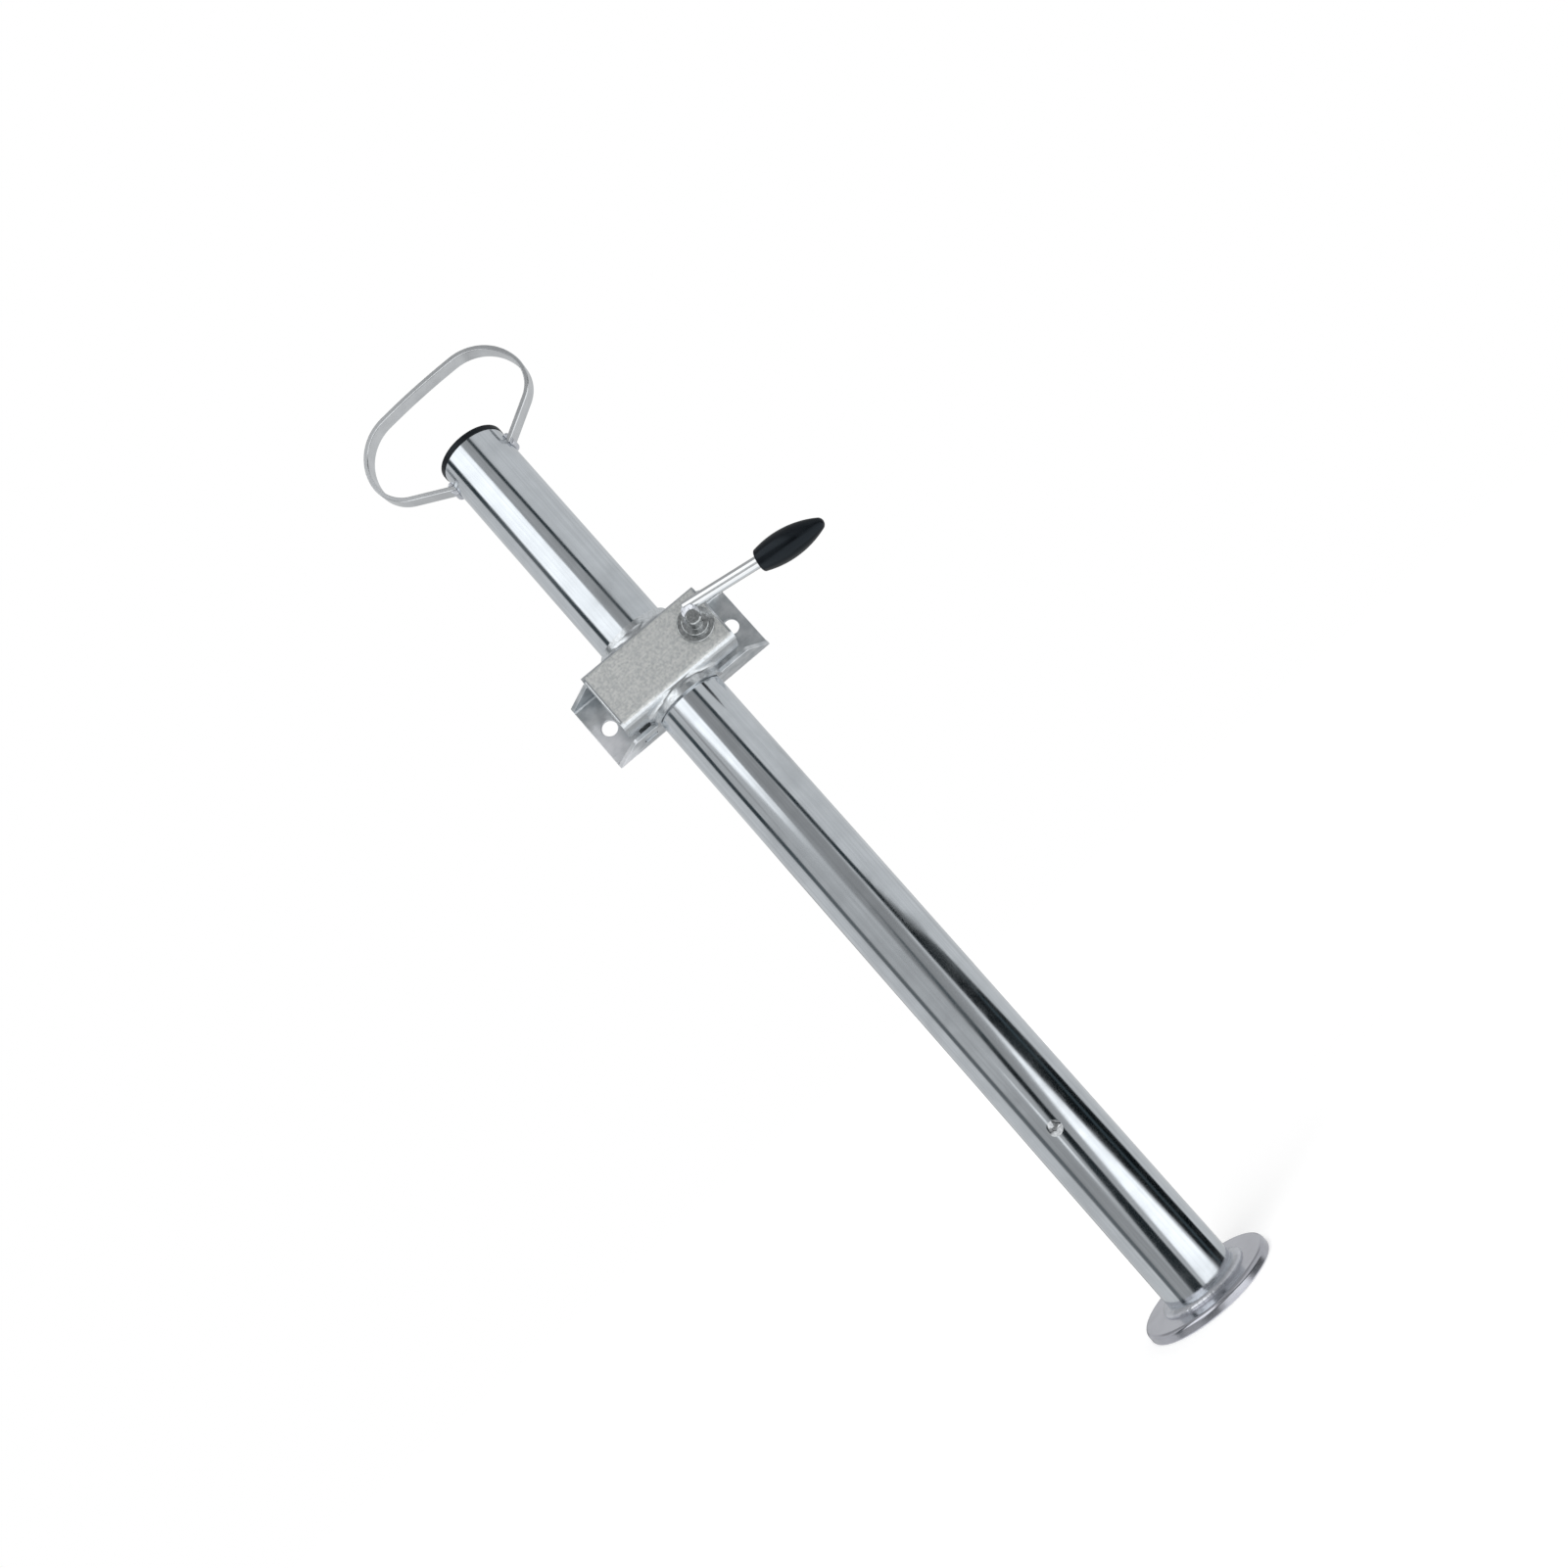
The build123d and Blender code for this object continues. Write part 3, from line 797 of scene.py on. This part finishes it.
def grown(name: str, slot: Slot, tree: Tree, values: dict[str, object]) -> Piece:
    """Makes a plain mesh object from a geometry tree.

    Args:
        name: The new object's name.
        slot: The material slot.
        tree: The geometry tree.
        values: The tree's inputs, by name.

    Returns:
        The new object, with no modifiers.
    """
    piece = new_object(name, bpy.data.meshes.new(name), slot)
    modifier = piece.modifiers.new(name, "NODES")
    modifier.node_group = tree
    sockets = {item.name: item.identifier for item in tree.interface.items_tree if item.in_out == "INPUT"}
    for label, value in values.items():
        modifier[sockets[label]] = value
    modifier[sockets["Material"]] = bpy.data.materials[slot.finish]
    return baked(piece)


def merged(piece: Piece, other: Piece) -> Piece:
    """Adds another object's mesh to a piece and deletes the other.

    Args:
        piece: The object that stays.
        other: The object whose mesh is added.

    Returns:
        The piece.
    """
    shape = bmesh.new()
    shape.from_mesh(piece.data)
    shape.from_mesh(other.data)
    shape.to_mesh(piece.data)
    shape.free()
    bpy.data.objects.remove(other)
    return piece


@dataclass
class Leg:
    """The round leg: tube, foot plate with its weld, end cap and stop rivet.

    Attributes:
        segments: Steps round a turned piece.
        wall_mm: The tube's wall.
        edge_mm: Rounding of the tube's cut ends.
        edge_steps: Steps in that rounding.
        rim_mm: Rounding at the top of the foot's rim.
        rim_steps: Steps in that rounding.
        heel_mm: Rounding at the bottom of the foot's rim.
        heel_steps: Steps in that rounding.
        ripple_count: Ripples in the foot's weld.
        ripple_place: Their middle, out from the tube and up from the plate, as shares of the bead's width.
        ripple_size: Half of their width, height and length, as shares of the bead's width.
        ripple_unevenness: How much smaller the smallest ripple is, as a share.
        ripple_seed: Seed of their sizes.
        cap_edge_mm: Rounding of the end cap's edges.
        lip_mm: How far the cap's lip reaches down over the tube, and how far it stands above the solid's.
        lip_split_mm: Height over the tube's end that parts the lip's lower edge from its top.
        mandrel_edge_mm: Rounding of the rivet's mandrel.
    """

    segments: int = 240
    wall_mm: float = 2.5
    edge_mm: float = 0.4
    edge_steps: int = 4
    rim_mm: float = 2.3
    rim_steps: int = 12
    heel_mm: float = 0.8
    heel_steps: int = 6
    ripple_count: int = 120
    ripple_place: tuple[float, float] = (0.2, 0.0)
    ripple_size: Triple = (0.8, 0.55, 1.15)
    ripple_unevenness: float = 0.05
    ripple_seed: int = 7
    cap_edge_mm: float = 0.2
    lip_mm: tuple[float, float] = (1.3, 0.4)
    lip_split_mm: float = 0.6
    mandrel_edge_mm: float = 0.15

    def build_tube(self) -> None:
        """Makes the tube, with its bore and rounded ends."""
        low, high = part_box("leg_tube")
        inner = high.x - self.wall_mm * MM
        edge = self.edge_mm * MM
        profile = arc((high.x - edge, low.z + edge), edge, -90, self.edge_steps)
        profile += arc((high.x - edge, high.z - edge), edge, 0, self.edge_steps)
        profile += [(inner, high.z), (inner, low.z)]
        tube = lathe("leg_tube", Slot.TUBE, profile, self.segments)
        finish(tube, Body.LEG, "leg_tube")

    def build_foot(self) -> None:
        """Makes the foot plate, with its rim rounded."""
        low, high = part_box("foot_plate")
        rim = self.rim_mm * MM
        heel = self.heel_mm * MM
        profile = [(0.0, low.z)]
        profile += arc((high.x - heel, low.z + heel), heel, -90, self.heel_steps)
        profile += arc((high.x - rim, high.z - rim), rim, 0, self.rim_steps)
        profile += [(0.0, high.z)]
        foot = lathe("foot_plate", Slot.FOOT, profile, self.segments)
        finish(foot, Body.LEG, "foot_plate")

    def build_foot_weld(self) -> None:
        """Makes the bead round the foot of the tube, with its ripples."""
        low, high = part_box("foot_weld")
        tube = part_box("leg_tube")[1].x
        reach = high.x - tube
        piece = node_copy("foot_weld", Slot.WELD)
        out, up = self.ripple_place
        across, rise, along = self.ripple_size
        ripples = grown("foot_ripples", Slot.WELD, WeldRipples.tree(), {
            "Ring Radius": tube + out * reach,
            "Height": low.z + up * reach,
            "Count": self.ripple_count,
            "Across": across * reach,
            "Rise": rise * reach,
            "Along": along * reach,
            "Unevenness": self.ripple_unevenness,
            "Seed": self.ripple_seed,
        })
        finish(merged(piece, ripples), Body.LEG, "foot_weld")

    def build_cap(self) -> None:
        """Makes the end cap, with its lip drawn down over the tube's end."""
        cap = softened(node_copy("end_cap", Slot.CAP), self.cap_edge_mm)
        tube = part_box("leg_tube")[1]
        down, up = (size * MM for size in self.lip_mm)
        for vertex in cap.data.vertices:
            if vertex.co.z > tube.z + self.lip_split_mm * MM:
                vertex.co.z += up
            elif vertex.co.xy.length > tube.x:
                vertex.co.z -= down
        finish(cap, Body.LEG, "end_cap")

    def build(self) -> None:
        """Makes every piece of the leg."""
        self.build_tube()
        self.build_foot()
        self.build_foot_weld()
        self.build_cap()
        dress("stop_rivet", Slot.RIVET, Body.LEG)
        dress("rivet_mandrel", Slot.RIVET, Body.LEG, self.mandrel_edge_mm)


@dataclass
class PullHandle:
    """The bent strip at the top of the leg, and the beads that hold it.

    Attributes:
        edge_mm: Rounding of the strip's rolled edges.
        bead: How its beads are made.
    """

    edge_mm: float = 0.5
    bead: Bead = Bead(voxel_mm=0.25, lump_mm=0.12, lump_scale=260.0, settle=24)

    def build(self) -> None:
        """Makes the strip and both pairs of beads."""
        dress("pull_handle", Slot.HANDLE, Body.LEG, self.edge_mm)
        self.bead.build("handle_weld_left", Body.LEG)
        self.bead.build("handle_weld_right", Body.LEG)


@dataclass
class Clamp:
    """The pressed clamp: back bracket with its nut, front bar and washer.

    Attributes:
        edge_mm: Rounding of the pressed edges.
        small_edge_mm: Rounding of the nut and washer.
        fold_mm: The folds' axes (their Y, and their Z as a middle and a height off it) and their radius.
        fold_blend_mm: Heights off the middle between which the collars' roots leave the folds.
        fold_cuts: Steps that a fold is rounded in.
        sheared_mm: Rounding of the sheared end of the bar's face.
        sheared_cuts: Steps in that rounding.
    """

    edge_mm: float = 0.35
    small_edge_mm: float = 0.2
    fold_mm: tuple[float, float, float, float] = (-23.0, 498.0, 17.0, 5.0)
    fold_blend_mm: tuple[float, float] = (22.0, 25.0)
    fold_cuts: int = 6
    sheared_mm: float = 1.2
    sheared_cuts: int = 5

    def settle_folds(self, shape: Shape) -> None:
        """Carries the bar's folds on past the collars' roots, where the plain solid has a square corner."""
        front, middle, off, radius = (size * MM for size in self.fold_mm)
        near, far = (size * MM for size in self.fold_blend_mm)
        for side in (-1, 1):
            for step in range(self.fold_cuts):
                level = middle + side * (off + radius * sin(pi / 2 * step / self.fold_cuts))
                everything = [*shape.verts, *shape.edges, *shape.faces]
                cut = {"plane_co": (0.0, 0.0, level), "plane_no": (0.0, 0.0, 1.0)}
                bmesh.ops.bisect_plane(shape, geom=everything, dist=MERGE_DISTANCE, **cut)
        for vertex in shape.verts:
            rise = abs(vertex.co.z - middle)
            side = 1 if vertex.co.z > middle else -1
            out = Vector((0.0, vertex.co.y - front, (rise - off) * side))
            if vertex.co.y > front or rise < off or rise > far or out.length <= radius + MERGE_DISTANCE:
                continue
            share = min(1.0, (far - rise) / (far - near))
            vertex.co -= out * (1.0 - radius / out.length) * share

    def round_sheared_end(self, shape: Shape) -> None:
        """Rounds the end of the bar's face that the shears rolled over."""
        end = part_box("clamp_bar")[0].x
        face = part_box("clamp_washer")[1].y
        sheared = []
        for edge in shape.edges:
            if all(max(abs(v.co.x - end), abs(v.co.y - face)) < MERGE_DISTANCE for v in edge.verts):
                sheared.append(edge)
        bmesh.ops.bevel(
            shape, geom=sheared, offset=self.sheared_mm * MM, segments=self.sheared_cuts,
            profile=ROUND_PROFILE, affect="EDGES", clamp_overlap=True,
        )

    def build_bar(self) -> None:
        """Makes the bar, with its folds whole and the end of its face rounded."""
        piece = node_copy("clamp_bar", Slot.BAR)
        shape = bmesh.new()
        shape.from_mesh(piece.data)
        self.settle_folds(shape)
        bmesh.ops.dissolve_degenerate(shape, edges=shape.edges, dist=MERGE_DISTANCE)
        self.round_sheared_end(shape)
        mark_sharp(shape)
        shape.to_mesh(piece.data)
        shape.free()
        finish(softened(piece, self.edge_mm), Body.BAR, "clamp_bar")

    def build(self) -> None:
        """Makes every piece of the clamp."""
        dress("back_bracket", Slot.BRACKET, Body.BRACKET, self.edge_mm)
        dress("clamp_nut", Slot.SCREW, Body.BRACKET, self.small_edge_mm)
        self.build_bar()
        dress("clamp_washer", Slot.SCREW, Body.WASHER, self.small_edge_mm)


@dataclass
class Lever:
    """The clamp screw with its lever rod, weld and grip.

    Attributes:
        thread_mm: Radius, pitch and depth of the screw's thread.
        thread_ends_mm: Plain length at the front and at the back end of the threaded shank.
        edge_mm: Rounding of the turned edges.
        bead: How its weld bead is made.
    """

    thread_mm: Triple = (6.0, 1.75, 0.8)
    thread_ends_mm: tuple[float, float] = (0.5, 1.5)
    edge_mm: float = 0.15
    bead: Bead = Bead(voxel_mm=0.22, lump_mm=0.3, lump_scale=520.0, settle=3)

    def build_screw(self) -> None:
        """Makes the screw, whose plain shank becomes the core of its thread."""
        radius, pitch, depth = (size * MM for size in self.thread_mm)
        core = radius - depth
        screw = softened(node_copy("clamp_screw", Slot.SCREW), self.edge_mm)
        low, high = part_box("clamp_screw")
        middle = (low + high) / 2
        shank_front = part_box("clamp_washer")[0].y
        for vertex in screw.data.vertices:
            out = Vector((vertex.co.x - middle.x, 0.0, vertex.co.z - middle.z))
            if vertex.co.y > shank_front and core < out.length < radius + self.edge_mm * MM:
                vertex.co -= out * (1.0 - core / out.length)
        front, back = (length * MM for length in self.thread_ends_mm)
        thread = grown("screw_thread", Slot.SCREW, ScrewThread.tree(), {
            "Core Radius": core,
            "Ridge": depth,
            "Pitch": pitch,
            "Length": high.y - back - shank_front - front,
            "Start": (middle.x, high.y - back, middle.z),
        })
        finish(merged(screw, thread), Body.LEVER, "clamp_screw")

    def build(self) -> None:
        """Makes every piece of the lever."""
        self.build_screw()
        dress("lever_rod", Slot.ROD, Body.LEVER)
        self.bead.build("lever_weld", Body.LEVER)
        dress("lever_grip", Slot.GRIP, Body.LEVER)


@dataclass(frozen=True)
class Panel:
    """A soft-edged field of the studio, as polished metal sees it, whose sides may lean.

    Attributes:
        low: Its lower edge, in degrees above level.
        high: Its upper edge.
        foot: Left and right ends of its lower edge, in degrees from the front towards +X.
        head: Left and right ends of its upper edge.
        level: Its brightness.
        softness: Width of its soft sides, in degrees.
        fade: Width of its soft lower and upper edges, in degrees.
    """

    low: float
    high: float
    foot: tuple[float, float]
    head: tuple[float, float]
    level: float
    softness: float = 4.0
    fade: float = 1.5

    def side(self, tree: Tree, rise: object, index: int) -> Socket:
        """Gives the azimuth of one side at each height, in radians."""
        lean = (self.head[index] - self.foot[index]) / (self.high - self.low)
        start = radians(self.foot[index] - lean * self.low)
        return math_node(tree, "MULTIPLY_ADD", rise, lean, start)

    def lay(self, tree: Tree, turn: object, rise: object, under: object) -> Socket:
        """Lays the panel over what is under it.

        Args:
            tree: The world's node tree.
            turn: Output that gives the azimuth, in radians.
            rise: Output that gives the elevation, in radians.
            under: Output or number that gives the brightness so far.

        Returns:
            The brightness with this panel.
        """
        share: object = 1.0
        for inside, blur in (
            (math_node(tree, "SUBTRACT", turn, self.side(tree, rise, 0)), self.softness),
            (math_node(tree, "SUBTRACT", self.side(tree, rise, 1), turn), self.softness),
            (math_node(tree, "SUBTRACT", rise, radians(self.low)), self.fade),
            (math_node(tree, "SUBTRACT", radians(self.high), rise), self.fade),
        ):
            edge = radians(blur / 2)
            share = math_node(tree, "MULTIPLY", share, remap(tree, inside, -edge, edge))
        rest = math_node(tree, "MULTIPLY", under, math_node(tree, "SUBTRACT", 1.0, share))
        return math_node(tree, "MULTIPLY_ADD", share, self.level, rest)


@dataclass(frozen=True)
class Lamp:
    """A soft square lamp.

    Attributes:
        name: The lamp's name.
        place: Where it hangs, in metres.
        width: Width of its face, in metres.
        power: Power in watts.
    """

    name: str
    place: Triple
    width: float
    power: float

    def hang(self, target: Triple) -> None:
        """Hangs the lamp so that it points at a target."""
        light = bpy.data.lights.new(self.name, "AREA")
        light.size = self.width
        light.energy = self.power
        holder = linked(self.name, light)
        holder.location = self.place
        aim = Vector(target) - Vector(self.place)
        holder.rotation_euler = aim.to_track_quat("-Z", "Y").to_euler()
        holder.visible_glossy = False


@dataclass
class Studio:
    """Plain white studio: floor, soft lamps, and the fields that the metal mirrors.

    Attributes:
        floor_size: Width of the floor, in metres.
        floor_colour: Its colour.
        room_level: Brightness of the room in reflections.
        fill_level: Brightness of the room on matt surfaces.
        glow_near: Light added to the floor round the stand, where the camera sees it.
        glow_far: Light added to the floor beyond the lamps' reach.
        glow_reach: Distances from the stand at which the glow starts and ends its rise, in metres.
        white: Colour of the backdrop.
        tint: Colour of the light in reflections.
        deep_tint: Colour of the darkest fields.
        deep_level: Brightness from which the deep colour has gone.
        wobble: How unevenly the panels' sides run, in degrees.
        wobble_scale: Bends of those sides, per unit of direction.
        wobble_detail: Octaves of those bends.
        cloud: Darkest and brightest share of the clouding in reflections.
        cloud_scale: Clouds per unit of direction.
        cloud_detail: Octaves of the clouding.
        target: What the lamps point at, in metres.
        lamps: The lamps.
        panels: The fields, each laid over those before it.
    """

    floor_size: float = 30.0
    floor_colour: Triple = (0.85, 0.85, 0.85)
    room_level: float = 0.66
    fill_level: float = 0.55
    glow_near: float = 0.35
    glow_far: float = 0.7
    glow_reach: tuple[float, float] = (0.3, 2.5)
    white: Triple = (1.0, 1.0, 1.0)
    tint: Triple = (0.975, 0.99, 1.0)
    deep_tint: Triple = (0.55, 0.85, 1.0)
    deep_level: float = 0.25
    wobble: float = 3.0
    wobble_scale: float = 7.0
    wobble_detail: float = 2.0
    cloud: tuple[float, float] = (0.9, 1.08)
    cloud_scale: float = 9.0
    cloud_detail: float = 4.0
    target: Triple = (0.0, 0.0, 0.35)
    lamps: tuple[Lamp, ...] = (
        Lamp("key", (-0.9, -1.1, 1.9), width=1.2, power=16.0),
        Lamp("top", (0.4, 0.3, 2.4), width=1.6, power=14.0),
    )
    panels: tuple[Panel, ...] = (
        # white floor all round, which darkens behind the stand, and a dim ceiling
        Panel(-90, -25, ALL_ROUND, ALL_ROUND, 1.25, fade=4),
        Panel(-90, -22, (118, 200), (118, 200), 0.74, softness=20, fade=4),
        Panel(-90, -22, (-200, -118), (-200, -118), 0.74, softness=20, fade=4),
        Panel(-25, 8, (162, 200), (162, 200), 0.38, softness=8, fade=3),
        Panel(-25, 8, (-200, -162), (-200, -162), 0.38, softness=8, fade=3),
        Panel(50, 90, ALL_ROUND, ALL_ROUND, 0.42, fade=12),
        Panel(30, 60, (118, 200), (118, 200), 0.4, softness=20, fade=8),
        Panel(30, 60, (-200, -118), (-200, -118), 0.4, softness=20, fade=8),
        # grey wall left of the camera, darker towards its middle and above it
        Panel(-17, 18, (-76, 24), (-76, 24), 0.52, softness=10),
        Panel(-8, 60, (-18, 26), (-18, 16), 0.34, softness=9, fade=8),
        Panel(18, 60, (-18, 18), (-18, 8), 0.42, softness=9, fade=6),
        Panel(-18, -7, (-78, -49), (-78, -40), 0.38, softness=8, fade=5),
        # dark edge of that wall, in uneven patches
        Panel(-17, 50, (-92, -77), (-92, -77), 0.16, softness=6),
        Panel(7, 15, (-91, -78), (-91, -78), 0.05, fade=4),
        Panel(18, 22, (-92, -77), (-92, -77), 0.04, fade=3),
        Panel(26, 60, (-92, -77), (-92, -77), 0.04, fade=3),
        # white lamp above the wall
        Panel(17, 60, (-74, -15), (-74, -14), 1.4, fade=4),
        Panel(9, 18, (-32, -16), (-56, -13), 1.4, fade=4),
        Panel(10, 18, (-60, -55), (-60, -55), 0.34, fade=4),
        # thin dark line that leans over the wall, and the dark field that it ends in
        Panel(3.5, 60, (31, 42), (-16, -8), 0.04),
        Panel(0.6, 4, (31, 71), (31, 42), 0.008, fade=0.6),
        Panel(-4.5, 0.6, (33, 88), (31, 71), 0.008, fade=0.6),
        Panel(-18, -4.5, (67, 104), (33, 88), 0.008, fade=0.6),
        Panel(-18, -1.5, (73, 81), (61, 69), 0.07, fade=3),
        # low white lamp beside it
        Panel(-7.7, -4, (12.5, 37.5), (24, 28), 1.45, fade=3),
        Panel(-18, -7.7, (-4, 58), (12.5, 37.5), 1.45, fade=0.6),
        # dark field left of the low lamp, with a narrow light behind it
        Panel(-3, 3, (-15.5, -3.5), (-5, 0), 0.08, fade=4),
        Panel(-9.7, -3, (-27.5, -9.5), (-15.5, -3.5), 0.012, fade=0.6),
        Panel(-18, -9.7, (-49, -11.5), (-27.5, -9.5), 0.02, fade=0.6),
        Panel(-10, -5.5, (-42.5, -35.5), (-38, -33.5), 1.2),
    )

    def build_world(self) -> None:
        """Builds the world: white to the camera, panels to polished metal, even fill to the rest."""
        world = bpy.data.worlds.new("studio")
        bpy.context.scene.world = world
        world.use_nodes = True
        tree = world.node_tree
        tree.nodes.clear()
        place = add_node(tree, "ShaderNodeTexCoord").outputs["Generated"]
        way = add_node(tree, "ShaderNodeSeparateXYZ", {0: place}).outputs
        turn = math_node(tree, "ARCTAN2", way["X"], math_node(tree, "MULTIPLY", way["Y"], -1.0))
        rise = math_node(tree, "ARCSINE", way["Z"])
        bends = noise_node(tree, place, self.wobble_scale, self.wobble_detail)
        drift = math_node(tree, "SUBTRACT", bends, NOISE_MIDDLE)
        turn = math_node(tree, "MULTIPLY_ADD", drift, radians(self.wobble), turn)
        level: object = self.room_level
        for panel in self.panels:
            level = panel.lay(tree, turn, rise, level)
        clouds = noise_node(tree, place, self.cloud_scale, self.cloud_detail)
        level = math_node(tree, "MULTIPLY", level, remap(tree, clouds, *NOISE_RANGE, *self.cloud))
        lit = remap(tree, level, 0.0, self.deep_level)
        colour = mix_colour(tree, lit, solid(self.deep_tint), solid(self.tint))
        seen = add_node(tree, "ShaderNodeBackground", {"Color": solid(self.white)}).outputs[0]
        mirrored = add_node(tree, "ShaderNodeBackground", {"Color": colour, "Strength": level}).outputs[0]
        even = add_node(tree, "ShaderNodeBackground", {"Strength": self.fill_level}).outputs[0]
        light = add_node(tree, "ShaderNodeLightPath").outputs
        inner = mix_shader(tree, light["Is Glossy Ray"], even, mirrored)
        outer = mix_shader(tree, light["Is Camera Ray"], inner, seen)
        add_node(tree, "ShaderNodeOutputWorld", {0: outer})

    def build_floor(self) -> None:
        """Lays the white floor, which keeps the stand's shadow."""
        half = self.floor_size / 2
        corners = [(-half, -half, 0), (half, -half, 0), (half, half, 0), (-half, half, 0)]
        mesh = bpy.data.meshes.new("floor")
        mesh.from_pydata(corners, [], [(0, 1, 2, 3)])
        floor = linked("floor", mesh)
        material = bpy.data.materials.new("white_floor")
        material.use_nodes = True
        tree = material.node_tree
        tree.nodes.clear()
        paint = add_node(tree, "ShaderNodeBsdfDiffuse", {"Color": solid(self.floor_colour)}).outputs[0]
        place = add_node(tree, "ShaderNodeTexCoord").outputs["Object"]
        away = add_node(tree, "ShaderNodeVectorMath", {0: place}, operation="LENGTH").outputs["Value"]
        glow = remap(tree, away, *self.glow_reach, self.glow_near, self.glow_far)
        seen = add_node(tree, "ShaderNodeLightPath").outputs["Is Camera Ray"]
        strength = math_node(tree, "MULTIPLY", glow, seen)
        shine = add_node(tree, "ShaderNodeEmission", {"Strength": strength}).outputs[0]
        both = add_node(tree, "ShaderNodeAddShader", {0: paint, 1: shine}).outputs[0]
        add_node(tree, "ShaderNodeOutputMaterial", {0: both})
        mesh.materials.append(material)
        floor.visible_glossy = False

    def build(self) -> None:
        """Builds the world, the floor and the lamps."""
        self.build_world()
        self.build_floor()
        for lamp in self.lamps:
            lamp.hang(self.target)
        bpy.context.scene.view_settings.view_transform = "Standard"


@dataclass
class PhotoCamera:
    """The photograph's camera, fitted to the outlines of the leg and clamp.

    Attributes:
        distance_mm: From the leg's axis, measured level.
        height_mm: Above the ground.
        turn: Degrees about the leg, away from the front.
        pitch: Degrees that it looks down, with a minus sign for up.
        yaw: Degrees that it looks sideways.
        roll: Degrees that it is turned about its line of sight.
        focal_px: Focal length, in pixels of the photograph.
        frame_px: Width of the photograph.
        sensor_mm: Width of the sensor.
        nearest: Distance from which it sees, in metres.
    """

    distance_mm: float = 847.58
    height_mm: float = 241.35
    turn: float = 4.54
    pitch: float = -9.92
    yaw: float = -0.65
    roll: float = -41.36
    focal_px: float = 1397.6
    frame_px: float = 1601.0
    sensor_mm: float = 36.0
    nearest: float = 0.01

    def build(self) -> None:
        """Makes the camera and sets it as the scene's."""
        level = Matrix(((1, 0, 0), (0, 0, -1), (0, 1, 0)))
        view = Matrix.Rotation(radians(self.roll), 3, "Z") @ Matrix.Rotation(radians(self.yaw), 3, "Y")
        view = view @ Matrix.Rotation(radians(self.pitch), 3, "X") @ level
        view = view @ Matrix.Rotation(radians(self.turn), 3, "Z")
        right, down, forward = view.row
        pose = Matrix((right, -down, -forward)).transposed().to_4x4()
        place = Vector((0.0, -self.distance_mm, self.height_mm)) * MM
        pose.translation = Matrix.Rotation(radians(-self.turn), 3, "Z") @ place
        camera = bpy.data.cameras.new("photo_camera")
        camera.sensor_width = self.sensor_mm
        camera.lens = self.focal_px * self.sensor_mm / self.frame_px
        camera.clip_start = self.nearest
        holder = linked("photo_camera", camera)
        holder.matrix_world = pose
        bpy.context.scene.camera = holder


def main() -> None:
    """Builds the finishes, the stand and the studio."""
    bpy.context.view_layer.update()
    for item in FINISHES:
        item.build()
    for assembly in (Leg(), PullHandle(), Clamp(), Lever(), Studio(), PhotoCamera()):
        assembly.build()


if __name__ == "__main__":
    main()
